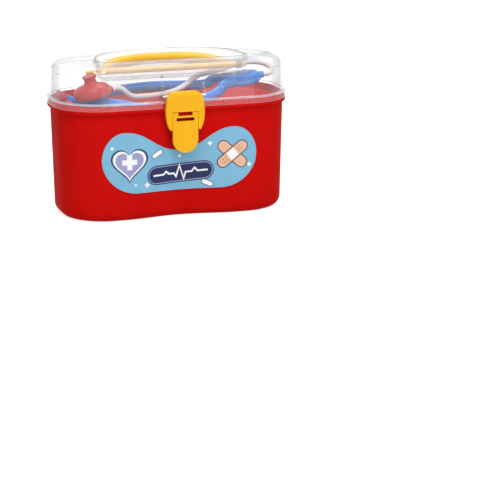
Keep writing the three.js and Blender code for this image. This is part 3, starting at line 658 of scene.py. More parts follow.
# A coordinate of a squarish round outline, from the cosine or sine of its angle.
def squarish(wave, roundness):
    return math.copysign(abs(wave) ** (2 / roundness), wave)


# Tub

tub = {
    "rimInset": 0.0019,
    "rimWall": 0.0022,
    "rimTop": 0.1156,
    "edgeRound": 0.0006,
    "ledgeDrop": 0.0022,
}


# From the flat of the floor over its rounding and up the wall to the lip.
def wallLoops(inset, floor):
    radius = case["baseFillet"] - inset
    low, high, steps = case["baseFillet"], case["lipBottom"], case["wallSteps"]
    wall = [wallLoop(inset, low + (high - low) * k / steps) for k in range(steps + 1)]
    return arcLoops(wallLoop, inset, floor, radius, radius)[:-1] + wall


def lipLoops():
    reach = case["wallInset"] - case["lipInset"]
    under = arcLoops(caseLoop, case["lipInset"], case["lipBottom"], reach, case["lipRise"])
    return under[1:] + edgeLoops(case["lipInset"], case["lipTop"], tub["edgeRound"])


# The rounded edge where a wall meets its flat top. An inner wall has a negative radius.
def edgeLoops(inset, top, radius):
    return arcLoops(caseLoop, inset, top, radius, -abs(radius), 3)[::-1]


def rimLoops():
    outer, inner = tub["rimInset"], tub["rimInset"] + tub["rimWall"]
    curl = tub["edgeRound"]
    return [
        caseLoop(outer, case["lipTop"]),
        *edgeLoops(outer, tub["rimTop"], curl),
        *reversed(edgeLoops(inner, tub["rimTop"], -curl)),
        caseLoop(inner, case["lipTop"]),
        caseLoop(case["wallInset"] + case["wall"], case["lipTop"] - tub["ledgeDrop"]),
    ]


def buildTub():
    bm = bmesh.new()
    outside = wallLoops(0, 0) + lipLoops() + rimLoops()
    inside = wallLoops(case["wall"], case["floor"])
    # The inside bands take the red that is painted brighter as painted light.
    kinds = [0] * (len(outside) - 1) + [1] * len(inside)
    growSkin(bm, outside + inside[::-1], caseStations, kinds)
    addPiece("tubShell", bm, "tub", "tub_red", ["tubRed", "tubInside"], ["case_tub"], 40)


catch = {"half": 0.0068, "front": -0.0604, "back": -0.0525, "low": 0.1024, "high": 0.107, "round": 0.0008}


def buildCatch():
    bm = bmesh.new()
    half = catch["half"]
    addBlock(bm, (-half, catch["front"], catch["low"]), (half, catch["back"], catch["high"]))
    softenEdges(bm, catch["round"])
    addPiece("tubCatch", bm, "tub", "tub_red", "tubRed")


hinge = {
    "y": pivots["lid_hinge"][1],
    "z": pivots["lid_hinge"][2],
    "radius": 0.0036,
    "at": 0.056,
    "tubWebFrom": 0.054,
    "lidWebFrom": 0.0565,
    "lidLength": 0.010,
    "tubLength": 0.0048,
    "gap": 0.0003,
    "round": 0.0005,
}


def buildKnuckle(name, body, slot, finish, spans, webFrom, webLow, webHigh):
    bm = bmesh.new()
    for start, end in spans:
        addBar(bm, (start, hinge["y"], hinge["z"]), (end, hinge["y"], hinge["z"]), hinge["radius"])
        addBlock(bm, (start + hinge["round"], webFrom, webLow), (end - hinge["round"], hinge["y"], webHigh))
    softenEdges(bm, hinge["round"])
    addPiece(name, bm, body, slot, finish)


def buildHinges():
    for side, sideName in ((-1, "Left"), (1, "Right")):
        middle = side * hinge["at"]
        half = hinge["lidLength"] / 2
        start = half + hinge["gap"]
        end = start + hinge["tubLength"]
        tubSpans = [(middle - end, middle - start), (middle + start, middle + end)]
        low, high = hinge["z"] - hinge["radius"], case["lipTop"]
        webFrom = hinge["tubWebFrom"]
        buildKnuckle("tubKnuckles" + sideName, "tub", "tub_red", "tubRed", tubSpans, webFrom, low, high)
        low, high = hinge["z"] + 2 * hinge["gap"], hinge["z"] + hinge["radius"]
        lidSpans = [(middle - half, middle + half)]
        webFrom = hinge["lidWebFrom"]
        buildKnuckle("lidKnuckle" + sideName, "lid", "lid_clear", "lidClear", lidSpans, webFrom, low, high)


# Lid

lid = {
    "skirtWall": 0.0016,
    "skirtBottom": 0.1115,
    "skirtTop": 0.1175,
    "step": 0.0016,
    "inset": 0.0034,
    "wall": 0.0018,
    "draft": 0.0006,
    "top": 0.153,
    "fillet": 0.0084,
    "edgeRound": 0.0006,
    "support": 0.0012,
    "seam": 0.0005,
}
tray = {
    "half": 0.075,
    "front": 0.031,
    "back": 0.039,
    "side": -0.020,
    "bow": 2.5,
    "corner": 0.009,
    "floor": 0.1364,
    "wall": 0.0016,
    "fillet": 0.003,
    "draft": math.radians(3),
    "collarTop": 0.1557,
    "collarWall": 0.0018,
    "backShare": 0.56,
    "cornerShare": 0.2,
}


# The tray's outline by station: the bowed back first, from right to left, then the straight
# front with its corners.
def trayPlace(number, offset):
    half, corner = tray["half"] + offset, tray["corner"] + offset
    front = tray["front"] + offset
    share = number / caseStations
    backShare, cornerShare = tray["backShare"], tray["cornerShare"]
    if share <= backShare:
        angle = math.pi * share / backShare
        x = half * squarish(math.cos(angle), tray["bow"])
        reach = tray["back"] - tray["side"] + offset
        return Vector((x, tray["side"] + reach * squarish(max(math.sin(angle), 0), tray["bow"])))
    along = (share - backShare) / (1 - backShare)
    toEnd = min(along, 1 - along)
    if toEnd < cornerShare:
        angle = math.pi / 2 * toEnd / cornerShare
        x = half - corner + corner * math.cos(angle)
        return Vector((x if along > 0.5 else -x, -(front - corner + corner * math.sin(angle))))
    middle = (along - cornerShare) / (1 - 2 * cornerShare)
    return Vector(((half - corner) * (2 * middle - 1), -front))


def collarLoop(offset, z):
    return levelLoop(z, trayPlace, offset)


def trayLoop(offset, z):
    return collarLoop(offset - (tray["collarTop"] - z) * math.tan(tray["draft"]), z)


def trayFootLoops(offset, floor):
    turn = tray["fillet"] + offset
    return arcLoops(trayLoop, offset, floor, -turn, turn)


# The tray and rim finishes carry a painted milky highlight, and the seam finish painted dark lines.
lidFinishes = ["lidClear", "lidTray", "lidRim", "lidSeam", "lidWall"]


# The seam bands carry painted dark grey lines.
# The finish of each band between the lid's loops, as its number in lidFinishes.
def lidKinds(outside, inside):
    clear, trayFloor, rim, seam, wall = range(len(lidFinishes))
    foot = case["filletSteps"] + 1
    half = foot // 2
    kinds = [clear] * (foot - 1) + [trayFloor, seam, rim, seam, rim, rim, clear]
    kinds += [clear] * half + [wall] * (foot - half) + [seam, wall] + [rim] * 5 + [clear]
    kinds += [clear] * (len(outside) - 1 - len(kinds))
    kinds += [seam, clear, clear, clear] + [wall] * (half + 1)
    kinds += [clear] * (len(inside) - foot - 6 - half)
    return kinds + [trayFloor] + [clear] * foot


def buildLid():
    inset, wall, draft, support = lid["inset"], lid["wall"], lid["draft"], lid["support"]
    top, fillet, curl = lid["top"], lid["fillet"], lid["edgeRound"]
    skirtWall, skirtTop, skirtBottom = lid["skirtWall"], lid["skirtTop"], lid["skirtBottom"]
    collar, collarTop = tray["collarWall"], tray["collarTop"]
    inner, ceiling = inset + wall, top - wall
    outside = [
        *trayFootLoops(0, tray["floor"]),
        trayLoop(0, collarTop - curl),
        collarLoop(curl / 2, collarTop),
        collarLoop(collar - curl, collarTop),
        collarLoop(collar, collarTop - curl),
        collarLoop(collar, top),
        collarLoop(collar + support, top),
        caseLoop(inset + draft + fillet + support, top),
        *arcLoops(caseLoop, inset + draft, top, fillet, -fillet),
        caseLoop(inset + draft, top - fillet - lid["seam"]),
        caseLoop(inset, skirtTop + support),
        caseLoop(inset - curl, skirtTop),
        *reversed(edgeLoops(0, skirtTop, curl)),
        caseLoop(0, skirtBottom),
    ]
    inside = [
        caseLoop(skirtWall, skirtBottom),
        caseLoop(skirtWall, skirtTop - lid["step"] - curl),
        caseLoop(skirtWall + curl, skirtTop - lid["step"]),
        caseLoop(inner, skirtTop - lid["step"]),
        *reversed(arcLoops(caseLoop, inner + draft, ceiling, fillet - wall, wall - fillet)),
        collarLoop(tray["wall"] + support, ceiling),
        trayLoop(tray["wall"], ceiling - curl),
        *reversed(trayFootLoops(tray["wall"], tray["floor"] - tray["wall"])),
    ]
    bm = bmesh.new()
    growSkin(bm, outside + inside, caseStations, lidKinds(outside, inside))
    addPiece("lidShell", bm, "lid", "lid_clear", lidFinishes, ["case_lid"], 40)


lidFittings = {
    "pivotHeight": pivots["handle_fold"][2],
    "bossRadius": 0.0044,
    "bossFrom": 0.0729,
    "bossTo": 0.0777,
    "padAt": 0.033,
    "padHalf": 0.0045,
    "padFront": 0.025,
    "padBack": 0.031,
    "padTop": 0.1407,
    "cheekInner": 0.0199,
    "cheekThickness": 0.0018,
    "cheekTop": 0.1434,
    "cheekNose": 0.0034,
    "round": 0.0004,
}


def buildLidFittings():
    fit = lidFittings
    bm = bmesh.new()
    for side in (-1, 1):
        ends = [(side * x, 0, fit["pivotHeight"]) for x in (fit["bossFrom"], fit["bossTo"])]
        addBar(bm, ends[0], ends[1], fit["bossRadius"])
        low = (side * fit["padAt"] - fit["padHalf"], fit["padFront"], tray["floor"])
        addBlock(bm, low, (side * fit["padAt"] + fit["padHalf"], fit["padBack"], fit["padTop"]))
    softenEdges(bm, fit["round"], 2)
    addPiece("trayBossesAndPads", bm, "lid", "lid_clear", "lidClear")


# The two clear cheeks that carry the latch pin, drawn from the side.
def buildCheeks():
    fit = lidFittings
    wall = -(case["depth"] / 2 - lid["inset"] - lid["wall"] / 2)
    pinY, pinZ = latch["pinY"], latch["pinZ"]
    outline = [(wall, lid["skirtTop"]), (wall, fit["cheekTop"]), (wall - lid["wall"], fit["cheekTop"])]
    outline += arcPoints((pinY, pinZ), fit["cheekNose"], 135, 225, 8)
    outline += [(-(case["depth"] / 2 - lid["edgeRound"]), lid["skirtTop"])]
    bm = bmesh.new()
    for start in (-fit["cheekInner"] - fit["cheekThickness"], fit["cheekInner"]):
        verts = [bm.verts.new((start, y, z)) for y, z in outline]
        pullFaces(bm, [bm.faces.new(verts)], (fit["cheekThickness"], 0, 0))
    bmesh.ops.recalc_face_normals(bm, faces=bm.faces)
    softenEdges(bm, fit["round"], 2)
    addPiece("latchCheeks", bm, "lid", "lid_clear", "lidClear")


# Handle

handle = {
    "barRadius": 0.0031,
    "pegRadius": 0.002,
    "barEnd": 0.0691,
    "pegEnd": 0.083,
    "clearance": 0.0012,
    "gripWidth": 0.0115,
    "gripHeight": 0.0105,
    "armWidth": 0.008,
    "armHeight": 0.0066,
    "recline": math.radians(10),
    "barRound": 0.0006,
    "pegRound": 0.0004,
    "steps": 96,
    "sides": 32,
    "flatness": 2.6,
}


def bowSpot(angle):
    inset = handle["clearance"] + handle["gripWidth"] / 2
    reach = tray["back"] - tray["side"] - inset
    x = (tray["half"] - inset) * squarish(math.cos(angle), tray["bow"])
    return Vector((x, tray["side"] + reach * squarish(math.sin(angle), tray["bow"])))


def handleLoop(step):
    reach = tray["back"] - tray["side"] - handle["clearance"] - handle["gripWidth"] / 2
    start = math.asin((-tray["side"] / reach) ** (tray["bow"] / 2))
    stride = (math.pi - 2 * start) / handle["steps"]
    angle = start + step * stride
    centre = bowSpot(angle)
    along = (bowSpot(angle + stride / 2) - bowSpot(angle - stride / 2)).normalized()
    grown = eased(min(max(centre.y / reach * 2, 0), 1))
    width = handle["armWidth"] + (handle["gripWidth"] - handle["armWidth"]) * grown
    height = handle["armHeight"] + (handle["gripHeight"] - handle["armHeight"]) * grown

    def place(number):
        turn = 2 * math.pi * number / handle["sides"]
        out = width / 2 * squarish(math.cos(turn), handle["flatness"])
        up = height / 2 * squarish(math.sin(turn), handle["flatness"])
        return Vector((centre.x - along.y * out, centre.y + along.x * out, up))
    return place


def buildHandle():
    bm = bmesh.new()
    growSkin(bm, [handleLoop(step) for step in range(handle["steps"] + 1)], handle["sides"])
    bow = meshOf(bm)
    bars = []
    for part, sides in (("bar", 40), ("peg", 32)):
        bm = bmesh.new()
        end = handle[part + "End"]
        addBar(bm, (-end, 0, 0), (end, 0, 0), handle[part + "Radius"], sides)
        softenEdges(bm, handle[part + "Round"])
        bars.append(("UNION", meshOf(bm)))
    mesh = combine(bow, bars)
    lifted = Matrix.Translation((0, 0, lidFittings["pivotHeight"]))
    mesh.transform(lifted @ Matrix.Rotation(handle["recline"], 4, "X"))
    placeMesh("carryHandle", mesh, "handle", "handleYellow", ["carry_handle"], 40)


# Latch

latch = {
    "face": 0.064,
    "thickness": 0.0044,
    "topHalf": 0.0186,
    "widestHalf": 0.0196,
    "corner": 0.0096,
    "widestHeight": 0.111,
    "legHeight": 0.0904,
    "legHalf": 0.016,
    "flankHalf": 0.0199,
    "flankLift": 0.0076,
    "flankSteps": 8,
    "pinY": pivots["latch_swing"][1],
    "pinZ": pivots["latch_swing"][2],
    "barrel": 0.0047,
    "gap": 0.0003,
    "edge": 0.0012,
    "reach": 0.024,
    "overrun": 0.003,
}
lever = {
    "half": 0.0128,
    "end": 0.0678,
    "thickness": 0.003,
    "recess": 0.0002,
    "barrel": 0.0019,
    "pivotY": pivots["lever_swing"][1],
    "pivotZ": pivots["lever_swing"][2],
    "notchHalf": 0.0074,
    "notchBottom": 0.1044,
    "windowHalf": 0.0092,
    "windowTop": 0.1026,
    "windowBottom": 0.0992,
    "windowRound": 0.0008,
    "edge": 0.0007,
}


def plateOutline():
    top = latch["pinZ"] + latch["barrel"]
    slotHalf = lever["half"] + latch["gap"]
    slotTop = lever["pivotZ"] + lever["barrel"] + latch["gap"]
    legRound = (latch["legHalf"] - slotHalf) / 2
    widest = Vector((latch["widestHalf"], latch["widestHeight"]))
    bend = Vector((latch["flankHalf"], latch["legHeight"] + latch["flankLift"]))
    foot = Vector((latch["legHalf"], latch["legHeight"] + legRound))
    side = []
    for i in range(1, latch["flankSteps"] + 1):
        t = i / latch["flankSteps"]
        side.append(tuple(foot * (1 - t) ** 2 + bend * (2 * t * (1 - t)) + widest * t * t))
    right = [(slotHalf, slotTop)]
    right += arcPoints((slotHalf + legRound, latch["legHeight"] + legRound), legRound, 180, 360, 8)
    right += side
    corner = latch["corner"]
    right += arcPoints((latch["topHalf"] - corner, top - corner), corner, 0, 90, 12)
    return right + [(-x, z) for x, z in reversed(right)]


def buildLatchPlate():
    reach, overrun = latch["reach"], latch["overrun"]
    bm = bmesh.new()
    addSlab(bm, plateOutline(), -latch["face"] - overrun, 0)
    front = meshOf(bm)
    section = [(-latch["face"], latch["pinZ"]), (-latch["face"], latch["legHeight"] - overrun)]
    back = latch["thickness"] - latch["face"]
    section.append((back, latch["legHeight"] - overrun))
    turnBack = math.degrees(math.acos((back - latch["pinY"]) / latch["barrel"]))
    section += arcPoints((latch["pinY"], latch["pinZ"]), latch["barrel"], -turnBack, 178, 28)
    bm = bmesh.new()
    face = bm.faces.new([bm.verts.new((-reach, y, z)) for y, z in section])
    pullFaces(bm, [face], (2 * reach, 0, 0))
    mesh = combine(front, [("INTERSECT", meshOf(bm))])
    piece = placeMesh("latchPlate", mesh, "plate", "latchYellow", ["latch_plate"], 32)
    bevelPiece(piece, latch["edge"])


def buildLatchLever():
    half, low = lever["half"], lever["end"] + lever["half"]
    outline = [(half, lever["pivotZ"]), (-half, lever["pivotZ"])] + arcPoints((0, low), half, 180, 360, 32)
    w, r = lever["windowHalf"], lever["windowRound"]
    top, bottom = lever["windowTop"] - r, lever["windowBottom"] + r
    window = []
    for turn, corner in enumerate([(w - r, top), (r - w, top), (r - w, bottom), (w - r, bottom)]):
        window += arcPoints(corner, r, 90 * turn, 90 * turn + 90, 4)
    bm = bmesh.new()
    front = lever["recess"] - latch["face"]
    addSlab(bm, outline, front, front + lever["thickness"], [window])
    tongue = meshOf(bm)
    bm = bmesh.new()
    ends = [(side * half, lever["pivotY"], lever["pivotZ"]) for side in (-1, 1)]
    addBar(bm, ends[0], ends[1], lever["barrel"], 32)
    barrel = meshOf(bm)
    bm = bmesh.new()
    notch, back = lever["notchHalf"], latch["thickness"] - latch["face"]
    addBlock(bm, (-notch, -latch["face"], lever["notchBottom"]), (notch, back, case["lipTop"]))
    mesh = combine(tongue, [("UNION", barrel), ("DIFFERENCE", meshOf(bm))])
    piece = placeMesh("latchLever", mesh, "lever", "latchYellow", ["latch_lever"], 32)
    bevelPiece(piece, lever["edge"])


# Label

label = {
    "half": 0.079,
    "shift": -0.003,
    "bottom": 0.028,
    "top": 0.0892,
    "waist": 0.069,
    "lobe": 0.056,
    "widest": 0.062,
    "flatHalf": 0.042,
    "fullness": 0.55,
    "flow": 0.45,
    "curveSteps": 16,
    "lift": 0.0003,
    "thickness": 0.0004,
    "printLift": 0.00005,
    "cutStep": 0.003,
}


def labelOutline():
    full, flow = label["fullness"], label["flow"]
    half, lobe, flat = label["half"], label["lobe"], label["flatHalf"]
    waist, top, widest, bottom = label["waist"], label["top"], label["widest"], label["bottom"]
    rise, run, fall, foot = top - widest, half - lobe, widest - bottom, half - flat
    curves = [
        [(0, waist), (lobe * flow, waist), (lobe * (1 - flow), top), (lobe, top)],
        [(lobe, top), (lobe + run * full, top), (half, widest + rise * full), (half, widest)],
        [(half, widest), (half, widest - fall * full), (flat + foot * full, bottom), (flat, bottom)],
    ]
    right = []
    for curve in curves:
        points = interpolate_bezier(*[Vector((*point, 0)) for point in curve], label["curveSteps"])
        right += [(p.x, p.y) for p in points[:-1]]
    right.append((flat, bottom))
    return right + [(-x, z) for x, z in reversed(right[1:])]


# How far in front of the middle the tub's front wall stands, at a place across and up.
def wallFront(x, z):
    length, depth, corner, waist = wallSizes(0, z)
    straight = length / 2 - corner
    front = depth / 2
    if abs(x) > straight:
        front = depth / 2 - corner + math.sqrt(corner ** 2 - (abs(x) - straight) ** 2)
    return front - waistDraw(x, waist)


# A thin sheet cut to an outline in X and Z and laid on the tub's front wall.
def addSheet(bm, outline, lift, thickness, finishIndex=0):
    before = set(bm.faces)
    outline = [(x + label["shift"], z) for x, z in outline]
    bm.faces.new([bm.verts.new((x, 0, z)) for x, z in outline])
    for axis, normal in ((0, (1, 0, 0)), (2, (0, 0, 1))):
        low = min(p[axis // 2] for p in outline)
        high = max(p[axis // 2] for p in outline)
        cuts = int((high - low) / label["cutStep"])
        for i in range(1, cuts + 1):
            spot = Vector((0, 0, 0))
            spot[axis] = low + (high - low) * i / (cuts + 1)
            faces = [f for f in bm.faces if f not in before]
            geom = faces + list({e for f in faces for e in f.edges})
            geom += list({v for f in faces for v in f.verts})
            bmesh.ops.bisect_plane(bm, geom=geom, plane_co=spot, plane_no=normal, dist=closest)
    faces = [f for f in bm.faces if f not in before]
    for vert in {v for f in faces for v in f.verts}:
        vert.co.y = -wallFront(vert.co.x, vert.co.z) - lift
    pullFaces(bm, faces, (0, -thickness, 0))
    made = [f for f in bm.faces if f not in before]
    smoothFaces(made)
    for face in made:
        face.material_index = finishIndex


def buildLabel():
    bm = bmesh.new()
    addSheet(bm, labelOutline(), label["lift"], label["thickness"])
    addPiece("labelSheet", bm, "tub", "label_printed", "labelBlue", ["front_label"], 50)


# The print's motifs, with places and sizes on the label across and up.
prints = {
    "finishes": ["printNavy", "printLilac", "printWhite", "printSand", "tubRed"],
    "ink": 0.00004,
    "heart": (-0.0515, 0.0585),
    "heartSize": 0.038,
    "heartWhite": 0.9,
    "heartLilac": 0.76,
    "heartDrop": 0.01,
    "heartSign": (0.03, 0.2, 0.07),
    "cross": (0.054, 0.0615),
    "plasterHalf": 0.0125,
    "plasterRadius": 0.0052,
    "padHalf": 0.0046,
    "ribbon": (0.001, 0.0455),
    "ribbonHalf": 0.0245,
    "ribbonRadius": 0.0098,
    "outline": 0.0009,
    "crossTilts": (-42, 38),
    "ribbonTilt": 3,
    "ribbonLayers": ((0, "printNavy"), (1.2, "printLilac"), (2.2, "printNavy")),
    "pulseOverrun": 0.35,
    "mitreLimit": 0.4,
    "dotStep": 0.0032,
    "dotStart": 0.9,
    "dotRadius": 0.0005,
    "capsules": (((-0.023, 0.066), 32), ((0.0285, 0.0335), -24)),
    "capsuleHalf": 0.0036,
    "capsuleRadius": 0.0027,
    "capsuleFill": 0.0021,
    "signs": (
        ((-0.0335, 0.0355), 0.0026), ((-0.069, 0.0745), 0.0018), ((0.031, 0.0735), 0.0022),
        ((0.0715, 0.05), 0.0022), ((0.0, 0.0625), 0.0018), ((-0.0455, 0.0365), 0.0014),
    ),
    "signHalfShare": 0.34,
}


def placed(points, centre, tilt=0):
    c, s = math.cos(math.radians(tilt)), math.sin(math.radians(tilt))
    return [(centre[0] + x * c - z * s, centre[1] + x * s + z * c) for x, z in points]


def capsule(centre, halfLength, radius, tilt):
    points = arcPoints((halfLength, 0), radius, -90, 90, 10)
    points += arcPoints((-halfLength, 0), radius, 90, 270, 10)
    return placed(points, centre, tilt)


def plusSign(centre, reach, half):
    quarter = [(half, reach), (half, half), (reach, half)]
    points = []
    for turn in range(4):
        points += placed(quarter, centre, -90 * turn)
    return points


# The usual heart curve, which is 32 units wide.
def heart(centre, size, steps=48):
    points = []
    for i in range(steps):
        t = 2 * math.pi * i / steps
        x = 16 * math.sin(t) ** 3
        z = 13 * math.cos(t) - 5 * math.cos(2 * t) - 2 * math.cos(3 * t) - math.cos(4 * t)
        points.append((x * size / 32, z * size / 32))
    return placed(points, centre)


def disc(centre, radius, steps=12):
    return arcPoints(centre, radius, 0, 360 - 360 / steps, steps - 1)


# A line of even width through points, with its corners mitred.
def ribbonLine(points, half):
    upper, lower = [], []
    for i, point in enumerate(points):
        spot = Vector(point)
        first = (spot - Vector(points[i - 1])).normalized() if i else None
        second = (Vector(points[i + 1]) - spot).normalized() if i + 1 < len(points) else first
        first = first or second
        across = (first + second).normalized().orthogonal()
        reach = half / max(across.dot(first.orthogonal()), prints["mitreLimit"])
        upper.append(tuple(spot + across * reach))
        lower.append(tuple(spot - across * reach))
    return upper + lower[::-1]


def pulseLine(centre, size, half, tilt):
    # Places along and up, as shares of half its length.
    beats = [
        (-1, 0), (-0.62, 0), (-0.52, 0.1), (-0.42, 0), (-0.24, 0), (-0.16, -0.12), (-0.02, 0.27),
        (0.12, -0.23), (0.2, 0), (0.42, 0), (0.53, 0.12), (0.64, 0), (1, 0),
    ]
    return placed(ribbonLine([(x * size, z * size) for x, z in beats], half), centre, tilt)


def plaster(centre, tilt, grow=0.0):
    return capsule(centre, prints["plasterHalf"], prints["plasterRadius"] + grow, tilt)


def buildPrints():
    bm = bmesh.new()
    ink, edge = prints["ink"], prints["outline"]
    base = label["lift"] + label["thickness"] + label["printLift"]

    def stamp(outline, layer, colour):
        addSheet(bm, outline, base + layer * 2 * ink, ink, prints["finishes"].index(colour))

    spot, size = prints["heart"], prints["heartSize"]
    stamp(heart(spot, size), 0, "printNavy")
    stamp(heart(spot, size * prints["heartWhite"]), 1, "printWhite")
    lower = (spot[0], spot[1] - size * prints["heartDrop"])
    stamp(heart(lower, size * prints["heartLilac"]), 2, "printLilac")
    rise, reach, half = (size * share for share in prints["heartSign"])
    stamp(plusSign((spot[0], spot[1] + rise), reach, half), 3, "printWhite")

    spot = prints["cross"]
    lower, upper = prints["crossTilts"]
    for layer, tilt in ((0, lower), (3, upper)):
        stamp(plaster(spot, tilt, edge), layer, "printNavy")
        stamp(plaster(spot, tilt), layer + 1, "printSand")
    pad = prints["padHalf"]
    stamp(placed([(-pad, -pad), (pad, -pad), (pad, pad), (-pad, pad)], spot, upper), 5, "printWhite")
    for side in (-1, 1):
        for across in (-1, 1):
            for along in (0, 1):
                reach = side * (pad + prints["dotStep"] * (prints["dotStart"] + along))
                dot = placed([(reach, across * prints["dotStep"] / 2)], spot, upper)[0]
                stamp(disc(dot, prints["dotRadius"]), 5, "printNavy")

    spot, half, radius = prints["ribbon"], prints["ribbonHalf"], prints["ribbonRadius"]
    tilt = prints["ribbonTilt"]
    for layer, (steps, colour) in enumerate(prints["ribbonLayers"]):
        stamp(capsule(spot, half, radius - edge * steps, tilt), layer, colour)
    stamp(pulseLine(spot, half + radius * prints["pulseOverrun"], edge, tilt), 3, "printWhite")

    for centre, tilt in prints["capsules"]:
        stamp(capsule(centre, prints["capsuleHalf"], prints["capsuleRadius"], tilt), 0, "printNavy")
        stamp(capsule(centre, prints["capsuleHalf"], prints["capsuleFill"], tilt), 1, "printWhite")
    for centre, reach in prints["signs"]:
        stamp(plusSign(centre, reach, reach * prints["signHalfShare"]), 0, "printWhite")
    addPiece("labelPrint", bm, "tub", "label_printed", prints["finishes"], (), 50)


# Stethoscope

scope = {
    "tube": 0.005,
    "centre": (0.078, -0.004, 0.1282),
    "tilt": math.radians(8),
    "radius": 0.0185,
    "baseHeight": 0.005,
    "capHeight": 0.0044,
    "capRadius": 0.017,
    "button": 0.0105,
    "buttonRise": 0.0012,
    "round": 0.0014,
    "seamRound": 0.0004,
    "seamStep": 0.0008,
    "grooveOuter": 0.0022,
    "grooveFoot": 0.0016,
    "grooveInner": 0.0007,
    "buttonRound": 0.0012,
    "buttonEdge": 0.6,  # shares of the button's rise
    "buttonCrown": 1.1,
    "socket": 0.0061,
    "socketFrom": 0.011,
    "socketReach": 0.0215,
    "socketRound": 0.0006,
    "spread": math.radians(36),
    "hose": 0.0027,
    "nipple": 0.0035,
    "nippleFrom": 0.014,
    "nippleReach": 0.022,
    "nippleSwing": math.radians(-8),
    "gap": 0.0003,
    "slotWidth": 0.0013,
    "slotStep": 0.0042,
    "slotDepth": 0.0036,
    "slotStart": 0.006,
    "slotCount": 4,
}
hubFrame = Matrix.Translation(scope["centre"]) @ Matrix.Rotation(-scope["tilt"], 4, "Y")


def hubPlace(angle, reach, height=0.0):
    return hubFrame @ Vector((reach * math.cos(angle), reach * math.sin(angle), height))


# A piece turned from a profile of radius and height, and set on its frame.
def addTurned(name, profile, place, slot, finish, replaced, sharp, soften=0, sides=96):
    bm = bmesh.new()
    lathe(bm, profile, sides)
    if soften:
        softenEdges(bm, soften, 2)
    bmesh.ops.transform(bm, matrix=place, verts=bm.verts)
    addPiece(name, bm, "tub", slot, finish, [replaced], sharp)


def buildHub():
    seam = scope["gap"] / 2
    low, r, rounding = -scope["baseHeight"], scope["radius"], scope["round"]
    seamRound, seamStep = scope["seamRound"], scope["seamStep"]
    profile = [
        (0, low), (r - rounding, low), (r, low + rounding), (r, -seam - seamRound), (r - seamStep, -seam),
        (0, -seam),
    ]
    blue = ("stethoscope_blue", "stethoscopeBlue")
    addTurned("hubBase", profile, hubFrame, *blue, "hub_base", 40, seamRound)

    top = scope["gap"] + scope["capHeight"]
    cap, button, groove = scope["capRadius"], scope["button"], scope["grooveInner"]
    rise = scope["buttonRise"]
    profile = [
        (0, seam), (cap, seam), (cap, top - rounding), (cap - rounding, top),
        (button + scope["grooveOuter"], top), (button + scope["grooveFoot"], top - groove),
        (button + groove, top - groove), (button, top + rise * scope["buttonEdge"]),
        (button - scope["buttonRound"], top + rise), (0, top + rise * scope["buttonCrown"]),
    ]
    addTurned("hubCap", profile, hubFrame, *blue, "hub_cap", 40, scope["gap"])

    bm = bmesh.new()
    for arm in arms.values():
        ends = [hubPlace(arm["angle"], scope[reach]) for reach in ("socketFrom", "socketReach")]
        addBar(bm, *ends, scope["socket"], 48)
    ends = [hubPlace(scope["nippleSwing"], scope[reach]) for reach in ("nippleFrom", "nippleReach")]
    addBar(bm, *ends, scope["nipple"])
    softenEdges(bm, scope["socketRound"])
    addPiece("hubSockets", bm, "tub", *blue)


# Each arm leaves its socket at an angle and then follows a listed route.
arms = {
    "front": {
        "angle": math.pi + scope["spread"],
        "slotSide": 1,
        "route": [
            (0.047, -0.0255, 0.12), (0.03, -0.0345, 0.1155), (0.01, -0.0415, 0.111),
            (-0.014, -0.044, 0.1088), (-0.036, -0.0395, 0.1093), (-0.054, -0.0305, 0.1124),
            (-0.068, -0.023, 0.1136), (-0.08, -0.0194, 0.1122), (-0.091, -0.0194, 0.1096),
            (-0.0984, -0.0206, 0.1104),
        ],
    },
    "back": {
        "angle": math.pi - scope["spread"],
        "slotSide": -1,
        "route": [
            (0.047, 0.017, 0.1205), (0.03, 0.0275, 0.118), (0.01, 0.0385, 0.117),
            (-0.014, 0.0446, 0.1158), (-0.038, 0.0425, 0.114), (-0.056, 0.036, 0.1124),
            (-0.07, 0.028, 0.1106), (-0.082, 0.0218, 0.1094), (-0.0915, 0.0196, 0.1094),
            (-0.0984, 0.0202, 0.1118),
        ],
    },
}


def routeCurve(name, route, radius, sides):
    data = bpy.data.curves.new(name, "CURVE")
    data.dimensions = "3D"
    data.resolution_u = 10
    data.bevel_depth = radius
    data.bevel_resolution = sides
    data.use_fill_caps = True
    spline = data.splines.new("BEZIER")
    spline.bezier_points.add(len(route) - 1)
    for point, spot in zip(spline.bezier_points, route):
        point.co = spot
        point.handle_left_type = "AUTO"
        point.handle_right_type = "AUTO"
    piece = bpy.data.objects.new(name, data)
    scene.collection.objects.link(piece)
    return piece


def curveMesh(curve):
    bpy.context.view_layer.update()
    mesh = bpy.data.meshes.new_from_object(curve.evaluated_get(bpy.context.evaluated_depsgraph_get()))
    bpy.data.objects.remove(curve)
    bm = bmesh.new()
    bm.from_mesh(mesh)
    bmesh.ops.remove_doubles(bm, verts=bm.verts, dist=5 * closest)
    smoothFaces(bm.faces)
    return meshOf(bm)


def slotCutters(angle, side):
    bm = bmesh.new()
    tube, depth, width = scope["tube"], scope["slotDepth"], scope["slotWidth"]
    turn = Matrix.Rotation(angle, 4, "Z")
    for i in range(scope["slotCount"]):
        reach = scope["socketReach"] + scope["slotStart"] + i * scope["slotStep"]
        low, high = sorted((side * (tube - depth), side * (tube + scope["gap"])))
        block = addBlock(bm, (reach - width / 2, low, -2 * tube), (reach + width / 2, high, 2 * tube))
        bmesh.ops.transform(bm, matrix=hubFrame @ turn, verts=block)
    return meshOf(bm)


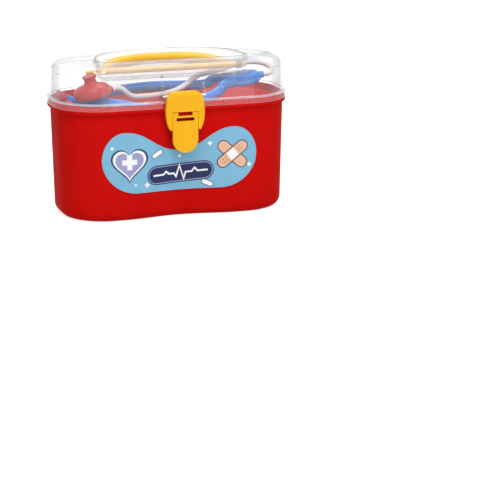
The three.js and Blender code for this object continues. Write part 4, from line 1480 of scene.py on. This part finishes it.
def buildArms():
    for side, arm in arms.items():
        reach = scope["socketReach"]
        start = [hubPlace(arm["angle"], reach), hubPlace(arm["angle"], reach + 2 * scope["tube"])]
        tube = curveMesh(routeCurve("arm", start + arm["route"], scope["tube"], 10))
        mesh = combine(tube, [("DIFFERENCE", slotCutters(arm["angle"], arm["slotSide"]))])
        name = "arm" + side.capitalize()
        placeMesh(name, mesh, "tub", "stethoscopeBlue", ["arm_" + side], 40)


earTip = {
    "radius": 0.007,
    "neck": 0.0046,
    "length": 0.0115,
    "tip": 0.0024,
    "flare": 0.0009,
    "belly": 0.0006,
    "draw": 0.0002,
    "lip": 0.0012,
    "mouth": 1.3,  # share of the tip
    "widestAt": 0.75,  # shares of the length
    "drawnAt": 0.93,
    "flutes": 12,
    "fluteDepth": 0.05,
    "fluteFrom": 1.1,  # share of the neck
}


def buildEarTips():
    radius, neck, length, tip = earTip["radius"], earTip["neck"], earTip["length"], earTip["tip"]
    profile = [
        (0, 0), (neck, 0), (neck, tip), (neck + earTip["flare"], tip * earTip["mouth"]),
        (radius - earTip["belly"], length / 2), (radius, length * earTip["widestAt"]),
        (radius - earTip["draw"], length * earTip["drawnAt"]), (radius - earTip["lip"], length),
        (neck, length), (tip, length - tip), (0, length - tip),
    ]
    for side, arm in arms.items():
        before, end = (Vector(spot) for spot in arm["route"][-2:])
        along = (end - before).normalized()
        bm = bmesh.new()
        lathe(bm, profile)
        for vert in bm.verts:
            reach = vert.co.xy.length
            if reach > neck * earTip["fluteFrom"]:
                turn = math.atan2(vert.co.y, vert.co.x)
                pinch = 1 - earTip["fluteDepth"] * (0.5 + 0.5 * math.cos(earTip["flutes"] * turn))
                vert.co.x *= pinch
                vert.co.y *= pinch
        turned = Vector((0, 0, 1)).rotation_difference(along).to_matrix().to_4x4()
        place = Matrix.Translation(end + along * scope["gap"]) @ turned
        bmesh.ops.transform(bm, matrix=place, verts=bm.verts)
        name = "earTip" + side.capitalize()
        addPiece(name, bm, "tub", "stethoscope_red", "stethoscopeRed", ["ear_tip_" + side], 50)


chest = {
    "centre": (-0.08, -0.017, 0.119),
    "lean": math.radians(-11),
    "bell": 0.0186,
    "height": 0.0205,
    "shoulder": 0.0116,
    "neck": 0.0056,
    "wall": 0.002,
    "knob": 0.0072,
    "knobThickness": 0.002,
    "base": 0.0162,
    "baseHeight": 0.0034,
    "diaphragm": 0.0134,
    "film": 0.0008,
    "nippleHeight": 0.0038,
    "nippleReach": 0.0205,
    "nippleRound": 0.0004,
    "edge": 0.0004,
    "draw": 0.0003,
    "crown": 0.0013,
    "rise": 0.001,
    "collar": 0.0026,
    "throat": 0.0042,
    "throatFlare": 0.0007,
    "knobRound": 0.0006,
    "knobEdge": 0.0005,
    "knobSeat": 0.0002,
    "baseEdge": 0.0005,
    "filmEdge": 0.0002,
    "sideTop": 0.36,  # shares of the height
    "crownTop": 0.47,
    "slope": (0.84, 0.55),  # shares of the bell's radius and of the height
    "slopeEnd": 0.68,
}
chestFrame = Matrix.Translation(chest["centre"]) @ Matrix.Rotation(chest["lean"], 4, "Y")


def buildChestPiece():
    c = chest
    bell, wall, neck, knob = c["bell"], c["wall"], c["neck"], c["knob"]
    inner, lip = bell - wall, c["baseHeight"] / 2
    shoulder, height = c["shoulder"], c["height"]
    knobTop = height + c["knobThickness"]
    profile = [
        (0, shoulder - wall), (inner * 2 / 3, shoulder - 2 * wall), (inner, height / 3), (inner, lip),
        (bell - c["draw"], lip), (bell, lip + c["edge"]), (bell, height / 4),
        (bell - c["draw"], height * c["sideTop"]), (bell - c["crown"], height * c["crownTop"]),
        (bell * c["slope"][0], height * c["slope"][1]), (bell * c["slopeEnd"], shoulder + c["rise"]),
        (neck + wall, shoulder + c["collar"]), (neck + c["throatFlare"], shoulder + c["throat"]),
        (neck, height - wall), (knob - c["knobEdge"], height - c["knobSeat"]), (knob, height + c["edge"]),
        (knob, knobTop - c["knobRound"]), (knob - c["knobRound"], knobTop), (0, knobTop),
    ]
    addTurned("chestBell", profile, chestFrame, "stethoscope_red", "stethoscopeRed", "chest_bell", 38)

    film, edge = c["film"] + scope["gap"], c["diaphragm"] + scope["gap"]
    base, baseEdge, baseHeight, filmEdge = c["base"], c["baseEdge"], c["baseHeight"], c["filmEdge"]
    ring = [
        (0, film), (edge, film), (edge, filmEdge), (edge + filmEdge, 0), (base - baseEdge, 0),
        (base, baseEdge), (base, baseHeight), (0, baseHeight),
    ]
    addTurned("chestBase", ring, chestFrame, "stethoscope_blue", "stethoscopeBlue", "chest_base", 38)

    radius, film = c["diaphragm"], c["film"]
    sheet = [(0, 0), (radius - filmEdge, 0), (radius, filmEdge), (radius, film), (0, film)]
    white = ("diaphragm_white", "diaphragmWhite")
    addTurned("chestDiaphragm", sheet, chestFrame, *white, "chest_diaphragm", 38, sides=72)

    bm = bmesh.new()
    start = chestFrame @ Vector((inner, 0, c["nippleHeight"]))
    end = chestFrame @ Vector((c["nippleReach"], 0, c["nippleHeight"]))
    addBar(bm, start, end, scope["nipple"])
    softenEdges(bm, c["nippleRound"], 2)
    addPiece("chestNipple", bm, "tub", "stethoscope_red", "stethoscopeRed")


# The hose's route between its two nipples, given point by point.
hoseRoute = [
    (0.111, 0.0005, 0.134), (0.111, 0.0095, 0.1366), (0.1054, 0.0166, 0.1388),
    (0.0965, 0.0204, 0.1396), (0.087, 0.0226, 0.1388), (0.0775, 0.0248, 0.1362),
    (0.0675, 0.027, 0.1328), (0.0575, 0.0272, 0.1308), (0.048, 0.0244, 0.13),
    (0.039, 0.019, 0.129), (0.0305, 0.0124, 0.1266), (0.022, 0.0056, 0.1232),
    (0.012, -0.0006, 0.1198), (0.0, -0.0056, 0.1176), (-0.013, -0.0094, 0.1166),
    (-0.027, -0.0126, 0.1168), (-0.04, -0.015, 0.118),
]


def buildHose():
    straight = 2 * scope["hose"]

    def chestPoint(reach):
        return chestFrame @ Vector((reach, 0, chest["nippleHeight"]))

    route = [
        hubPlace(scope["nippleSwing"], scope["nippleReach"]),
        hubPlace(scope["nippleSwing"], scope["nippleReach"] + straight),
        *[Vector(spot) for spot in hoseRoute],
        chestPoint(chest["nippleReach"] + straight),
        chestPoint(chest["nippleReach"]),
    ]
    piece = routeCurve("stethoscopeHose", route, scope["hose"], 8)
    piece.data.materials.append(finishes["hoseGrey"])
    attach(piece, "tub")
    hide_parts("stethoscope_hose")
    tuple(route[0])


# Pins keep their solids and get a steel finish.
def finishPins():
    for name in ("latch_pin", "lever_pin_left", "lever_pin_right", "hinge_pin_left", "hinge_pin_right"):
        data = nodes[name].data
        data.materials.clear()
        data.materials.append(finishes["pinSteel"])


buildTub()
buildCatch()
buildHinges()
print("tub built")
buildLid()
buildLidFittings()
buildCheeks()
print("lid built")
buildHandle()
buildLatchPlate()
buildLatchLever()
finishPins()
print("handle and latch built")
buildLabel()
buildPrints()
print("label built")
buildHub()
buildArms()
buildEarTips()
buildChestPiece()
buildHose()
print("stethoscope built")


# Stage and light

studio = {
    "floorSize": 12.0,
    "floorColour": (0.6, 0.6, 0.6, 1),
    "floorRough": 0.9,
    "floorGlow": 0.74,
    "floorBounce": (0.2, 0.2, 0.2, 1),
    "worldLight": 0.46,
    "lamps": {
        "key": {"place": (-0.35, -1.35, 2.5), "size": 1.2, "power": 43},
        "fill": {"place": (0.3, -2.2, 0.9), "size": 1.6, "power": 14},
        "back": {"place": (0.2, 1.2, 2.2), "size": 1.4, "power": 20},
    },
    "lampTarget": (0, 0, 0.08),
}


def addFloor():
    mesh = bpy.data.meshes.new("studioFloor")
    bm = bmesh.new()
    bmesh.ops.create_grid(bm, x_segments=1, y_segments=1, size=studio["floorSize"] / 2)
    bm.to_mesh(mesh)
    bm.free()
    floor = bpy.data.objects.new("studioFloor", mesh)
    scene.collection.objects.link(floor)
    material, place = startMaterial("studioFloor")
    feed(material, Base_Color=studio["floorColour"], Roughness=studio["floorRough"])
    feed(material, Specular_IOR_Level=0.0)
    seen = raysOf(material.node_tree, "Camera", "Glossy")
    glow = mixColour(place, seen, studio["floorBounce"], (1, 1, 1, 1))
    feed(material, Emission_Color=glow, Emission_Strength=studio["floorGlow"])
    mesh.materials.append(material)


def addLamp(name, look):
    data = bpy.data.lights.new(name + "Light", "AREA")
    data.shape = "SQUARE"
    data.size = look["size"]
    data.energy = look["power"]
    lamp = bpy.data.objects.new(name + "Light", data)
    lamp.location = look["place"]
    aim = Vector(studio["lampTarget"]) - Vector(look["place"])
    lamp.rotation_euler = aim.to_track_quat("-Z", "Y").to_euler()
    scene.collection.objects.link(lamp)


def addWorld():
    world = bpy.data.worlds.new("studio")
    world.use_nodes = True
    tree = world.node_tree
    seen = raysOf(tree, "Camera", "Transmission", "Glossy")
    strength = seen * (1 - studio["worldLight"]) + studio["worldLight"]
    setInputs(tree, tree.nodes["Background"], {"Color": (1, 1, 1, 1), "Strength": strength})
    scene.world = world


addFloor()
for lampName, lampLook in studio["lamps"].items():
    addLamp(lampName, lampLook)
addWorld()
scene.view_settings.view_transform = "Standard"
print("studio set")
